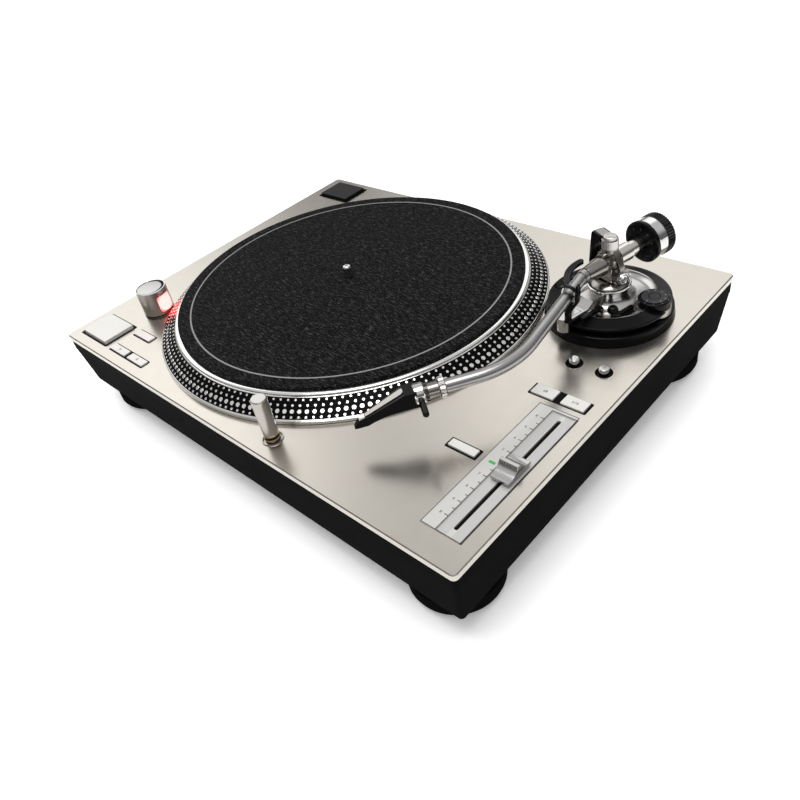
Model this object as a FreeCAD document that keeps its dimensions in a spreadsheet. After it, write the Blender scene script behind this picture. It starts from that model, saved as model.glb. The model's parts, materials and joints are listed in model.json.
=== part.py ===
"""A direct-drive DJ turntable, modelled as a parametric assembly in millimetres.

The origin is the middle of the plinth's footprint on the surface that the feet stand on, with +X to the
right, +Y to the rear and +Z up. The tonearm lies in its rest, beside the platter.
"""
import FreeCAD, Part
import math
import os
import re

import Sketcher

Vector = FreeCAD.Vector

# Driving dimensions: every size of the model is one of these or is worked out from them.
DIMENSIONS = {
    # Plinth
    "plinth_width": 450, "plinth_depth": 345, "plate_top": 78, "plate_thickness": 4.8, "plate_corner": 3.5,
    "band_height": 10.7, "band_inset": 0.5, "band_wall": 6.5, "base_bottom": 26, "base_draft": 4,
    "cover_thickness": 3, "foot_radius": 33, "foot_inset": 40, "foot_stud": 4,
    # Platter and motor, heights from the plate's top
    "platter_x": -31, "platter_y": 4.5, "platter_radius": 166.4, "platter_lift": 0.35, "cone_top_radius": 151.6,
    "cone_bottom_radius": 165.9, "cone_top": 13.4, "cone_bottom": 3.4, "platter_face": 15.6, "mat_radius": 147.7,
    "mat_top": 18.1, "spindle_radius": 3.6, "spindle_tip": 28.8, "shaft": 3, "rotor_radius": 52, "motor_hole": 58,
    # Controls on the plate
    "stop_x": -193.5, "stop_y": -146.4, "rear_stop_x": -191.5, "rear_stop_y": 148.1,
    "stop_width": 43.5, "stop_depth": 33.2, "stop_rise": 3,
    "key_rise": 1.3, "key_travel": 1,
    "speed_x": -139.2, "speed_y": -158.3, "reverse_x": -151.9, "reverse_y": -134.3,
    "reset_x": 167.9, "reset_y": -92.1, "range_x": 192.6, "range_y": -19.9,
    "fader_x": 198.8, "fader_y": -91.7, "fader_width": 30.5, "fader_length": 123.3, "slot_x": 204.3,
    "slot_y": -92.2, "slot_length": 108, "slot_width": 3,
    "torque_x": 180.3, "torque_y": 17.1, "brake_x": 202.9, "brake_y": 18.0, "knob_hole": 6.2, "knob_radius": 3.5,
    "light_x": 51, "light_y": -156, "light_radius": 6.85, "light_height": 36.4, "light_travel": 34,
    "tower_x": -177.3, "tower_y": -102.2, "tower_radius": 13.5, "tower_height": 24,
    # Tonearm, heights from the plate's top
    "pivot_x": 168, "pivot_y": 84, "base_yaw": -102.4, "ring_radius": 47.5, "ring_height": 7.6,
    "saucer_radius": 44.7, "saucer_neck": 42, "lip_radius": 34.6, "lip_height": 16.3, "skirt_radius": 36,
    "sleeve_radius": 38.3, "cup_radius": 15.2, "cup_height": 25.5, "pitch_height": 33.5,
    "yoke_bearing": -106, "yoke_width": 12, "dial_a": -11.6, "dial_b": 31.7, "dial_radius": 11.5,
    "guide_radius": 24.5, "guide_turn": -55, "rest_a": 49, "rest_b": 7.2, "rest_turn": 20,
    "arm_yaw": -105, "arm_height": 43, "arm_dip": 2.86, "barrel_radius": 6.8, "barrel_waist": 5.2,
    "barrel_front": 23.6, "barrel_rear": 17.3, "tube_radius": 4.5, "tube_wall": 0.8,
    "first_bend_start": 20, "first_bend": 22.7, "first_bend_radius": 29.9, "second_bend_radius": 60.3,
    "head_reach": 221.8, "head_angle": 22, "socket_station": 62.5, "shaft_radius": 5.6, "bushing_radius": 7.2,
    "weight_start": 34.5, "weight_length": 14, "weight_radius": 13.3,
    "running_gap": 0.05, "free_gap": 0.4,
}

NODES = []
WORD = re.compile(r"[a-z][a-z0-9_]*")

doc = FreeCAD.newDocument("Turntable")
sheet = doc.addObject("Spreadsheet::Sheet", "Dimensions")
for row, (alias, number) in enumerate(DIMENSIONS.items(), start=1):
    sheet.set(f"A{row}", alias)
    sheet.set(f"B{row}", str(number))
    sheet.setAlias(f"B{row}", alias)
doc.recompute()
reader = doc.addObject("App::FeaturePython", "Reader")


def formula(text):
    """The expression with each of the sheet's words read from the sheet."""
    return WORD.sub(lambda found: f"Dimensions.{found[0]}" if found[0] in DIMENSIONS else found[0], str(text))


def value(text):
    """The expression's number, for the places where a sketch starts from."""
    return float(reader.evalExpression(formula(text)))


def bind(item, field, text):
    """Drives one property of an object by an expression."""
    item.setExpression(field, formula(text))


def frame(x, y, z, turn="0", dip="0"):
    """A placement's expression: its origin, its turn about Z and its nose-down dip, both in degrees."""
    return f"placement(vector({x}; {y}; {z}); rotation({turn}; {dip}; 0))"


# Frames that the sub-parts are drawn in
ARM = frame("pivot_x", "pivot_y", "plate_top + arm_height", "arm_yaw", "arm_dip")
CARRIAGE = frame("pivot_x", "pivot_y", "plate_top", "base_yaw")
FRAMES = {
    "floor": frame("0", "0", "0"),
    "platter": frame("platter_x", "platter_y", "plate_top"),
    "light": frame("light_x", "light_y", "plate_top", "27"),
    "tower": frame("tower_x", "tower_y", "plate_top", "15"),
    "fader": frame("slot_x", "slot_y", "plate_top"),
    "torque": frame("torque_x", "torque_y", "plate_top"),
    "brake": frame("brake_x", "brake_y", "plate_top"),
    "carriage": CARRIAGE,
    "lock": f"{CARRIAGE} * {frame('17.4', '19.4', '0')}",
    "dial": f"{CARRIAGE} * {frame('dial_a', 'dial_b', '0')}",
    "rest": f"{CARRIAGE} * {frame('rest_a', 'rest_b', '0', 'rest_turn')}",
    "yoke": frame("pivot_x", "pivot_y", "plate_top", "base_yaw + yoke_bearing"),
    "gimbal": frame("pivot_x", "pivot_y", "plate_top", "arm_yaw"),
    "arm": ARM,
    "head": f"{ARM} * {frame('head_reach', '0', '0', '-head_angle')}",
}


def place(item, name):
    """Puts an object in one of the frames."""
    bind(item, "Placement", FRAMES[name])


def new_body(label):
    """A body, kept as one of the model's sub-parts."""
    body = doc.addObject("PartDesign::Body", label)
    body.Label = label
    body.AllowCompound = True
    NODES.append(body)
    return body


def new_sketch(body, role="XY_Plane", offset="0"):
    """A sketch on one of the body's own origin planes, raised along the plane's normal."""
    sketch = body.newObject("Sketcher::SketchObject", f"{body.Name}_sketch")
    plane = next(item for item in body.Origin.OriginFeatures if item.Role == role)
    sketch.AttachmentSupport = [(plane, "")]
    sketch.MapMode = "FlatFace"
    sketch.AttachmentOffset = FreeCAD.Placement(Vector(0, 0, value(offset)), FreeCAD.Rotation())
    bind(sketch, ".AttachmentOffset.Base.z", offset)
    return sketch


def pin_point(sketch, shape, corner, x, y):
    """Holds a point of the sketch at the expressions' place."""
    for kind, text in (("DistanceX", x), ("DistanceY", y)):
        index = sketch.addConstraint(Sketcher.Constraint(kind, -1, 1, shape, corner, value(text)))
        bind(sketch, f"Constraints[{index}]", text)


def pin_radius(sketch, shape, radius):
    """Holds the radius of a circle or an arc."""
    index = sketch.addConstraint(Sketcher.Constraint("Radius", shape, value(radius)))
    bind(sketch, f"Constraints[{index}]", radius)


def arc_between(start, end, radius):
    """The short arc from start to end, which turns left where the radius is positive."""
    chord = end - start
    half = chord.Length / 2
    across = Vector(-chord.y, chord.x, 0).normalize()
    rise = math.sqrt(max(radius * radius - half * half, 0.0))
    centre = start + chord / 2 + across * math.copysign(rise, radius)
    first, last = (start, end) if radius > 0 else (end, start)
    angles = [math.atan2(point.y - centre.y, point.x - centre.x) for point in (first, last)]
    if angles[1] <= angles[0]:
        angles[1] += 2 * math.pi
    return Part.ArcOfCircle(Part.Circle(centre, Vector(0, 0, 1), abs(radius)), *angles)


def draw(sketch, points, closed=True):
    """An outline through points (x, y), or (x, y, radius) where an arc of that radius leads to the point."""
    places = [Vector(value(point[0]), value(point[1]), 0) for point in points]
    ends = []
    spans = range(len(points) if closed else len(points) - 1)
    for here in spans:
        there = (here + 1) % len(points)
        if len(points[there]) == 2:
            shape = sketch.addGeometry(Part.LineSegment(places[here], places[there]), False)
            ends.append((shape, 1, 2))
            continue
        radius = points[there][2]
        arc = arc_between(places[here], places[there], value(radius))
        shape = sketch.addGeometry(arc, False)
        ends.append((shape, 1, 2) if value(radius) > 0 else (shape, 2, 1))
        pin_radius(sketch, shape, f"abs({radius})")
    for here, (shape, first, last) in enumerate(ends):
        pin_point(sketch, shape, first, points[here][0], points[here][1])
        if here + 1 < len(ends) or closed:
            after, after_first, _ = ends[(here + 1) % len(ends)]
            sketch.addConstraint(Sketcher.Constraint("Coincident", shape, last, after, after_first))
        else:
            pin_point(sketch, shape, last, points[-1][0], points[-1][1])


def draw_circle(sketch, x, y, radius):
    """A circle about a place."""
    circle = Part.Circle(Vector(value(x), value(y), 0), Vector(0, 0, 1), value(radius))
    shape = sketch.addGeometry(circle, False)
    pin_point(sketch, shape, 3, x, y)
    pin_radius(sketch, shape, radius)


def draw_rectangle(sketch, x, y, width, depth, corner):
    """A rectangle about a place, with round corners."""
    left, right = f"{x} - ({width}) / 2", f"{x} + ({width}) / 2"
    front, rear = f"{y} - ({depth}) / 2", f"{y} + ({depth}) / 2"
    draw(sketch, [
        (f"{left} + {corner}", front, corner),
        (f"{right} - {corner}", front),
        (right, f"{front} + {corner}", corner),
        (right, f"{rear} - {corner}"),
        (f"{right} - {corner}", rear, corner),
        (f"{left} + {corner}", rear),
        (left, f"{rear} - {corner}", corner),
        (left, f"{front} + {corner}"),
    ])


def pad(body, sketch, length, middle=False):
    """Adds the sketch's outline, pushed out along its normal."""
    feature = body.newObject("PartDesign::Pad", f"{body.Name}_pad")
    feature.Profile = sketch
    bind(feature, "Length", length)
    if middle:
        feature.Midplane = True
    return feature


def pocket(body, sketch, depth, upward=False):
    """Cuts the sketch's outline, downward along its normal unless told otherwise."""
    feature = body.newObject("PartDesign::Pocket", f"{body.Name}_pocket")
    feature.Profile = sketch
    feature.Reversed = upward
    bind(feature, "Length", depth)
    return feature


def revolve(body, points, axis="V_Axis", feature_type="PartDesign::Revolution"):
    """Adds or grooves a section in the body's XZ plane, turned once about an axis of its sketch."""
    sketch = new_sketch(body, "XZ_Plane")
    draw(sketch, points)
    feature = body.newObject(feature_type, f"{body.Name}_turned")
    feature.Profile = sketch
    feature.ReferenceAxis = (sketch, [axis])
    feature.Angle = 360
    return feature


def turned(label, where, points, axis="V_Axis"):
    """A sub-part that is one section turned about Z, or about X."""
    body = new_body(label)
    revolve(body, points, axis)
    place(body, where)
    return body


def repeat(body, feature, count):
    """Repeats a feature around the body's Z axis."""
    pattern = body.newObject("PartDesign::PolarPattern", f"{body.Name}_pattern")
    axis = next(item for item in body.Origin.OriginFeatures if item.Role == "Z_Axis")
    pattern.Originals = [feature]
    pattern.Axis = (axis, [""])
    pattern.Angle = 360
    pattern.Occurrences = count
    body.Tip = pattern
    return pattern


def soften(body, amount, wanted, kind="PartDesign::Fillet"):
    """Rounds or bevels the edges of the body's last feature that the test picks."""
    doc.recompute()
    base = body.Tip
    names = [f"Edge{number}" for number, edge in enumerate(base.Shape.Edges, start=1) if wanted(edge)]
    feature = body.newObject(kind, f"{body.Name}_edge")
    feature.Base = (base, names)
    bind(feature, "Radius" if kind.endswith("Fillet") else "Size", amount)
    return feature


def at_height(height):
    """A test for edges that lie at one height."""
    level = value(height)
    return lambda edge: abs(edge.BoundBox.ZMin - level) < 1e-4 and abs(edge.BoundBox.ZMax - level) < 1e-4


def upright(edge):
    """A test for straight edges along Z."""
    box = edge.BoundBox
    return box.XLength < 1e-4 and box.YLength < 1e-4


def solid(kind, name, sizes, base=("0", "0", "0"), direction=(0, 0, 1)):
    """A Part primitive with its sizes and its place bound to the sheet."""
    item = doc.addObject(kind, name)
    for field, text in sizes.items():
        bind(item, field, text)
    item.Placement = FreeCAD.Placement(Vector(), FreeCAD.Rotation(Vector(0, 0, 1), Vector(*direction)))
    for letter, text in zip("xyz", base):
        bind(item, f".Placement.Base.{letter}", text)
    return item


def box(name, width, depth, height, base):
    """A box from its low corner."""
    return solid("Part::Box", name, {"Length": width, "Width": depth, "Height": height}, base)


def rod(name, radius, length, base, direction=(0, 0, 1)):
    """A cylinder from the middle of its first face."""
    return solid("Part::Cylinder", name, {"Radius": radius, "Height": length}, base, direction)


def joined(name, items):
    """Several solids made into one."""
    item = doc.addObject("Part::MultiFuse", name)
    item.Shapes = items
    item.Refine = True
    return item


def minus(name, base, tools):
    """A solid with others taken away."""
    item = doc.addObject("Part::Cut", name)
    item.Base = base
    item.Tool = tools[0] if len(tools) == 1 else joined(f"{name}_tools", tools)
    return item


def keep(item, label):
    """Keeps a Part object as one of the model's sub-parts."""
    item.Label = label
    NODES.append(item)


# Plinth

FEET = {
    "front_left": ("-1", "-1"),
    "front_right": ("1", "-1"),
    "rear_left": ("-1", "1"),
    "rear_right": ("1", "1"),
}
FOOT_X, FOOT_Y = "(plinth_width / 2 - foot_inset)", "(plinth_depth / 2 - foot_inset)"
BAND_TOP = "plate_top - plate_thickness"
BAND_BOTTOM = f"{BAND_TOP} - band_height"
BASE_OPENING = ("plinth_width - 21", "plinth_depth - 21")
BEZELS = {
    "speed": ("speed_x", "speed_y", 52.4, 9.7, ((-13.8, 23.6, 7.6), (13.8, 23.6, 7.6))),
    "reverse": ("reverse_x", "reverse_y", 25.9, 9.7, ((0, 24.4, 7.7),)),
    "reset": ("reset_x", "reset_y", 25.1, 9.4, ((0, 22.0, 6.9),)),
    "range": ("range_x", "range_y", 44.5, 11.9, ((-11.6, 18.1, 10.5), (11.6, 18.1, 10.5))),
}


def top_plate():
    """The aluminium top plate, with an opening for each thing that sits in it."""
    body = new_body("top_plate")
    sketch = new_sketch(body, offset=BAND_TOP)
    draw_rectangle(sketch, "0", "0", "plinth_width", "plinth_depth", "plate_corner")
    draw_circle(sketch, "platter_x", "platter_y", "motor_hole")
    draw_circle(sketch, "pivot_x", "pivot_y", "sleeve_radius + 0.1")
    draw_rectangle(sketch, "stop_x", "stop_y", "stop_width", "stop_depth", "1.5")
    draw_rectangle(sketch, "rear_stop_x", "rear_stop_y", "stop_width", "stop_depth", "1.5")
    for x, y, width, depth, _ in BEZELS.values():
        draw_rectangle(sketch, x, y, str(width), str(depth), "0.8")
    draw_rectangle(sketch, "fader_x", "fader_y", "fader_width", "fader_length", "1")
    draw_circle(sketch, "torque_x", "torque_y", "knob_hole")
    draw_circle(sketch, "brake_x", "brake_y", "knob_hole")
    draw_circle(sketch, "light_x", "light_y", "light_radius + 0.6")
    draw_circle(sketch, "tower_x", "tower_y", "10.1")
    pad(body, sketch, "plate_thickness")
    half_width, half_depth = value("plinth_width / 2"), value("plinth_depth / 2")
    on_top = at_height("plate_top")

    def outer_top(edge):
        reach = max(abs(edge.CenterOfMass.x) / half_width, abs(edge.CenterOfMass.y) / half_depth)
        return on_top(edge) and reach > 0.98

    soften(body, "0.7", outer_top, "PartDesign::Chamfer")


def upper_frame():
    """The black frame under the plate, a shallow band with a bevelled lower edge."""
    body = new_body("upper_frame")
    sketch = new_sketch(body, offset=BAND_BOTTOM)
    draw_rectangle(sketch, "0", "0", "plinth_width - 2 * band_inset", "plinth_depth - 2 * band_inset", "3.2")
    inner = ("plinth_width - 2 * band_wall", "plinth_depth - 2 * band_wall")
    draw_rectangle(sketch, "0", "0", *inner, "4")
    pad(body, sketch, "band_height")
    low = at_height(BAND_BOTTOM)
    reach = value("plinth_depth / 2 - 2")
    soften(body, "0.5", lambda edge: low(edge) and (
        abs(edge.CenterOfMass.y) > reach or abs(edge.CenterOfMass.x) > value("plinth_width / 2 - 2")
    ), "PartDesign::Chamfer")


def base_shell():
    """The lower case: tapered walls, open below for the cover and at the rear for the sockets."""
    body = new_body("base_shell")
    top = new_sketch(body, offset=BAND_BOTTOM)
    inset = "2 * (band_inset + 0.3)"
    draw_rectangle(top, "0", "0", f"plinth_width - {inset}", f"plinth_depth - {inset}", "3.2")
    bottom = new_sketch(body, offset="base_bottom")
    draft = f"{inset} + 2 * base_draft"
    draw_rectangle(bottom, "0", "0", f"plinth_width - ({draft})", f"plinth_depth - ({draft})", "3.2")
    loft = body.newObject("PartDesign::AdditiveLoft", "base_walls")
    loft.Profile = bottom
    loft.Sections = [top]
    loft.Ruled = True
    hollow = new_sketch(body, offset=f"{BAND_BOTTOM} + 1")
    draw_rectangle(hollow, "0", "0", *BASE_OPENING, "4")
    pocket(body, hollow, f"{BAND_BOTTOM} - base_bottom + 3")
    well = new_sketch(body, offset=f"{BAND_BOTTOM} + 1")
    draw_circle(well, "light_x", "light_y", "light_radius + 1.2")
    pocket(body, well, f"{BAND_BOTTOM} - base_bottom - 2")
    window = new_sketch(body, "XZ_Plane", "-plinth_depth / 2 - 1")
    draw_rectangle(window, "-25", "44", "150", "24", "3")
    pocket(body, window, "14", upward=True)
    low = at_height("base_bottom")
    across, along = (value(side) / 2 + 1 for side in BASE_OPENING)
    soften(body, "1.5", lambda edge: low(edge) and (
        abs(edge.CenterOfMass.x) > across or abs(edge.CenterOfMass.y) > along
    ))


def bottom_cover():
    """The cover under the case, with a threaded boss for each foot."""
    body = new_body("bottom_cover")
    sketch = new_sketch(body, offset="base_bottom")
    draw_rectangle(sketch, "0", "0", "plinth_width - 21.4", "plinth_depth - 21.4", "3.8")
    pad(body, sketch, "cover_thickness")
    bosses = new_sketch(body, offset="base_bottom + cover_thickness")
    holes = new_sketch(body, offset="base_bottom")
    for across, along in FEET.values():
        draw_circle(bosses, f"{across} * {FOOT_X}", f"{along} * {FOOT_Y}", "12")
        draw_circle(holes, f"{across} * {FOOT_X}", f"{along} * {FOOT_Y}", "foot_stud + running_gap")
    pad(body, bosses, "15")
    pocket(body, holes, "16", upward=True)


def feet():
    """Four damped feet, each on a stud that screws into its boss."""
    for corner, (across, along) in FEET.items():
        top = "base_bottom - 0.3"
        FRAMES[corner] = frame(f"{across} * {FOOT_X}", f"{along} * {FOOT_Y}", "0")
        turned(f"foot_{corner}", corner, [
            ("0", "0"),
            ("foot_radius - 9", "0"),
            ("foot_radius - 1.2", "6", "12"),
            ("foot_radius", "9"),
            ("foot_radius", "17"),
            ("foot_radius - 2", "19", "2"),
            ("foot_radius - 7", "19.6"),
            ("foot_radius - 9", top),
            ("foot_stud", top),
            ("foot_stud", "base_bottom + 15"),
            ("0", "base_bottom + 15"),
        ])


def bezel_frame(body, x, y, width, depth, openings, corner):
    """A black frame set in the plate, with a well for each of its keys."""
    floor = "plate_top - 10"
    outline = new_sketch(body, offset=floor)
    draw_rectangle(outline, x, y, f"{width} - 0.2", f"{depth} - 0.2", corner)
    pad(body, outline, "10.25")
    wells = new_sketch(body, offset="plate_top + 0.25")
    for shift, opening_width, opening_depth in openings:
        draw_rectangle(wells, f"{x} + {shift}", y, str(opening_width), str(opening_depth), "0.6")
    pocket(body, wells, "8.75")


def bezels():
    """The frames of the two start keys and of the six small ones."""
    stops = new_body("stop_bezels")
    opening = ((0, "stop_width - 4.1", "stop_depth - 3"),)
    bezel_frame(stops, "stop_x", "stop_y", "stop_width", "stop_depth", opening, "1.4")
    bezel_frame(stops, "rear_stop_x", "rear_stop_y", "stop_width", "stop_depth", opening, "1.4")
    small = new_body("small_bezels")
    for x, y, width, depth, openings in BEZELS.values():
        bezel_frame(small, x, y, width, depth, openings, "0.7")


def key(label, x, y, width, depth, rise, edge):
    """One push key: a cap with softened top edges, free in its well."""
    body = new_body(label)
    sketch = new_sketch(body, offset="plate_top - 7")
    draw_rectangle(sketch, x, y, width, depth, "0.5")
    pad(body, sketch, f"7 + {rise}")
    soften(body, edge, at_height(f"plate_top + {rise}"))


def keys():
    """The eight push keys."""
    stop = ("stop_width - 5.7", "stop_depth - 4.6", "stop_rise", "0.45")
    key("start_button_front", "stop_x", "stop_y", *stop)
    key("start_button_rear", "rear_stop_x", "rear_stop_y", *stop)
    names = {
        "speed": ("speed_button_33", "speed_button_45"),
        "reverse": ("reverse_button",),
        "reset": ("reset_button",),
        "range": ("range_button_left", "range_button_right"),
    }
    for bezel, labels in names.items():
        x, y, _, _, openings = BEZELS[bezel]
        for label, (shift, width, depth) in zip(labels, openings):
            key(label, f"{x} + {shift}", y, f"{width} - 0.6", f"{depth} - 0.6", "key_rise", "0.25")


# Pitch fader and knobs

CHANNEL_DEPTH = "0.9"


def fader_panel():
    """The white fader panel, with its lowered channel and the slot."""
    body = new_body("fader_panel")
    sketch = new_sketch(body, offset="plate_top - 6")
    draw_rectangle(sketch, "fader_x", "fader_y", "fader_width - 0.2", "fader_length - 0.2", "0.9")
    pad(body, sketch, "6.3")
    channel = new_sketch(body, offset="plate_top + 0.3")
    draw_rectangle(channel, "slot_x + 0.3", "slot_y - 0.6", "18.4", "119.4", "0.6")
    pocket(body, channel, CHANNEL_DEPTH)
    slot = new_sketch(body, offset="plate_top + 1")
    draw_rectangle(slot, "slot_x", "slot_y", "slot_width", "slot_length", "1.2")
    pocket(body, slot, "10")


def control_board():
    """The board under the right side: the fader's rail and the two potentiometers."""
    body = new_body("control_board")
    board = new_sketch(body, offset="plate_top - 17")
    draw_rectangle(board, "fader_x - 3", "fader_y + 26", "36", "180", "2")
    pad(body, board, "1.6")
    rail = new_sketch(body, offset="plate_top - 15.4")
    draw_rectangle(rail, "slot_x", "slot_y", "11", "118", "0.8")
    draw_rectangle(rail, "slot_x", "slot_y", "7.6", "114.6", "0.6")
    pad(body, rail, "9.2")
    pots = new_sketch(body, offset="plate_top - 15.4")
    for knob in ("torque", "brake"):
        draw_circle(pots, f"{knob}_x", f"{knob}_y", "5.8")
        draw_circle(pots, f"{knob}_x", f"{knob}_y", "2 + running_gap")
    pad(body, pots, "13.6")


def pitch_fader():
    """The fader's cap, hollowed at both ends for the fingers, on its stem and slider."""
    body = new_body("pitch_fader")
    side = new_sketch(body, "YZ_Plane", "-8.25")
    draw(side, [
        ("-13.5", "0.75"),
        ("13.5", "0.75"),
        ("13.2", "3"),
        ("1.9", "8.2", "-22"),
        ("1.4", "9"),
        ("-1.4", "9"),
        ("-1.9", "8.2"),
        ("-13.2", "3", "-22"),
    ])
    pad(body, side, "16.5")
    stem = new_sketch(body, offset="-9")
    draw_rectangle(stem, "0", "0", "slot_width - 0.8", "7", "0.8")
    pad(body, stem, "10")
    slider = new_sketch(body, offset="-14.5")
    draw_rectangle(slider, "0", "0", "6.8", "12", "1")
    pad(body, slider, "6")
    place(body, "fader")


def small_knobs():
    """Two small knobs, each with a grip line across its top."""
    for label in ("torque", "brake"):
        body = turned(f"{label}_knob", label, [
            ("0", "-14"),
            ("2", "-14"),
            ("2", "-1.6"),
            ("knob_radius + 0.5", "-1.2"),
            ("knob_radius + 0.3", "0.6"),
            ("knob_radius", "3.7"),
            ("knob_radius - 0.5", "4.2", "0.5"),
            ("0", "4.2"),
        ])
        line = new_sketch(body, offset="4.2")
        draw_rectangle(line, "0", "knob_radius / 2", "0.7", "knob_radius", "0.2")
        pocket(body, line, "0.4")


# Target light and strobe

def target_light():
    """The light that pops up beside the platter, and the collar that it slides in."""
    turned("light_socket", "light", [
        ("light_radius + running_gap", "-44"),
        ("light_radius + 0.5", "-44"),
        ("light_radius + 0.5", "0.05"),
        ("light_radius + 1.1", "0.05"),
        ("light_radius + 0.9", "0.7"),
        ("light_radius + running_gap", "0.7"),
    ])
    body = turned("target_light", "light", [
        ("0", "-14"),
        ("light_radius", "-14"),
        ("light_radius", "light_height - 0.5"),
        ("light_radius - 0.5", "light_height", "0.5"),
        ("0", "light_height"),
    ])
    lens = new_sketch(body, "XZ_Plane", "-light_radius - 1")
    draw_circle(lens, "0", "light_height - 6.5", "3")
    pocket(body, lens, "2.2", upward=True)


def strobe():
    """The strobe tower, its red window and the power dial in its top."""
    body = turned("strobe_tower", "tower", [
        ("0", "-8"),
        ("9.9", "-8"),
        ("9.9", "0"),
        ("tower_radius - 0.7", "0.02"),
        ("tower_radius", "1"),
        ("tower_radius", "tower_height - 0.3"),
        ("tower_radius - 0.3", "tower_height", "0.3"),
        ("tower_radius - 0.8", "tower_height"),
        ("tower_radius - 0.8", "tower_height - 3.4"),
        ("3.05", "tower_height - 3.4"),
        ("3.05", "tower_height - 4.6"),
        ("tower_radius - 2.2", "tower_height - 4.6"),
        ("tower_radius - 2.2", "3.2"),
        ("0", "3.2"),
    ])
    window = revolve(body, [
        ("tower_radius - 3", "4"),
        ("tower_radius + 1", "4"),
        ("tower_radius + 1", "19"),
        ("tower_radius - 3", "19"),
    ], feature_type="PartDesign::Groove")
    window.Angle = 66
    window.Midplane = True
    soften(body, "2", window_corner)
    glass = new_body("strobe_window")
    pane = revolve(glass, [
        ("tower_radius - 2.1", "4.1"),
        ("tower_radius - 0.2", "4.1"),
        ("tower_radius - 0.2", "18.9"),
        ("tower_radius - 2.1", "18.9"),
    ])
    pane.Angle = 65
    pane.Midplane = True
    soften(glass, "1.9", window_corner)
    lamp = new_sketch(glass, offset="5")
    draw_rectangle(lamp, "tower_radius - 4.6", "0", "5.4", "8", "0.5")
    pad(glass, lamp, "13")
    place(glass, "tower")
    turned("power_dial", "tower", [
        ("0", "4"),
        ("3", "4"),
        ("3", "tower_height - 3"),
        ("tower_radius - 1.4", "tower_height - 3"),
        ("tower_radius - 1.4", "tower_height - 0.5"),
        ("tower_radius - 2", "tower_height", "0.7"),
        ("0", "tower_height"),
    ])


def window_corner(edge):
    """A test for the short edges through the wall at the corners of the tower's window."""
    box = edge.BoundBox
    middle = math.hypot(edge.CenterOfMass.x, edge.CenterOfMass.y)
    return box.ZLength < 1e-4 and edge.Length < 2.5 and middle > value("tower_radius - 1.6")


# Platter and motor

def platter():
    """The platter: a dish with a bevelled, dotted edge and ribs beneath."""
    body = turned("platter", "platter", [
        ("spindle_radius + 0.15", "platter_face"),
        ("cone_top_radius - 2.2", "platter_face"),
        ("cone_top_radius", "cone_top", "-2.6"),
        ("cone_bottom_radius", "cone_bottom"),
        ("platter_radius", "cone_bottom - 0.3"),
        ("platter_radius", "platter_lift + 0.3"),
        ("platter_radius - 0.4", "platter_lift"),
        ("platter_radius - 6", "platter_lift"),
        ("platter_radius - 6", "2.2"),
        ("platter_radius - 18.4", "11.4"),
        ("30", "11.4"),
        ("30", "8.6"),
        ("spindle_radius + 0.15", "8.6"),
    ])
    rib = new_sketch(body, offset="5.5")
    draw_rectangle(rib, "102", "0", "96", "2.2", "0.6")
    repeat(body, pad(body, rib, "6.4"), 12)


def slipmat():
    """The felt mat on the platter."""
    turned("slipmat", "platter", [
        ("spindle_radius + 0.4", "platter_face + 0.05"),
        ("mat_radius", "platter_face + 0.05"),
        ("mat_radius", "mat_top - 0.5"),
        ("mat_radius - 0.5", "mat_top", "0.5"),
        ("spindle_radius + 0.4", "mat_top"),
    ])


def motor():
    """The direct-drive motor: a stator on the plate, and the rotor and spindle that turn in it."""
    turned("rotor", "platter", [
        ("9", "5"),
        ("rotor_radius - 8.5", "5"),
        ("rotor_radius - 8.5", "-10"),
        ("rotor_radius", "-10"),
        ("rotor_radius", "8.6"),
        ("9", "8.6"),
    ])
    turned("spindle", "platter", [
        ("0", "-38"),
        ("shaft", "-38"),
        ("shaft", "3.4"),
        ("8.95", "3.4"),
        ("8.95", "8.6"),
        ("shaft", "8.6"),
        ("shaft", "mat_top + 0.2"),
        ("spindle_radius", "mat_top + 0.2"),
        ("spindle_radius", "spindle_tip - 2"),
        ("spindle_radius - 2", "spindle_tip", "2.2"),
        ("0", "spindle_tip"),
    ])
    body = turned("motor_stator", "platter", [
        ("0", "-41.5"),
        ("8", "-41.5"),
        ("8", "-12.5"),
        ("motor_hole + 8", "-12.5"),
        ("motor_hole + 8", "-4.85"),
        ("motor_hole + 4", "-4.85"),
        ("motor_hole + 4", "-11"),
        ("30", "-11"),
        ("30", "2.6"),
        ("shaft + running_gap", "2.6"),
        ("shaft + running_gap", "-39.5"),
        ("0", "-39.5"),
    ])
    tooth = new_sketch(body, offset="-7")
    draw(tooth, [
        ("29", "-3"),
        ("37", "-3"),
        ("37", "-9"),
        ("40.5", "-8.4"),
        ("40.5", "8.4", "41.4"),
        ("37", "9"),
        ("37", "3"),
        ("29", "3"),
    ])
    repeat(body, pad(body, tooth, "9"), 9)


# Rear sockets

PANEL_FRONT = "plinth_depth / 2 - 12.7"
PANEL_REAR = "plinth_depth / 2 - 10.7"
INLET_X, PHONO_X, POST_X, SOCKET_Z = "-75", ("4", "22"), "39", "44"


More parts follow.
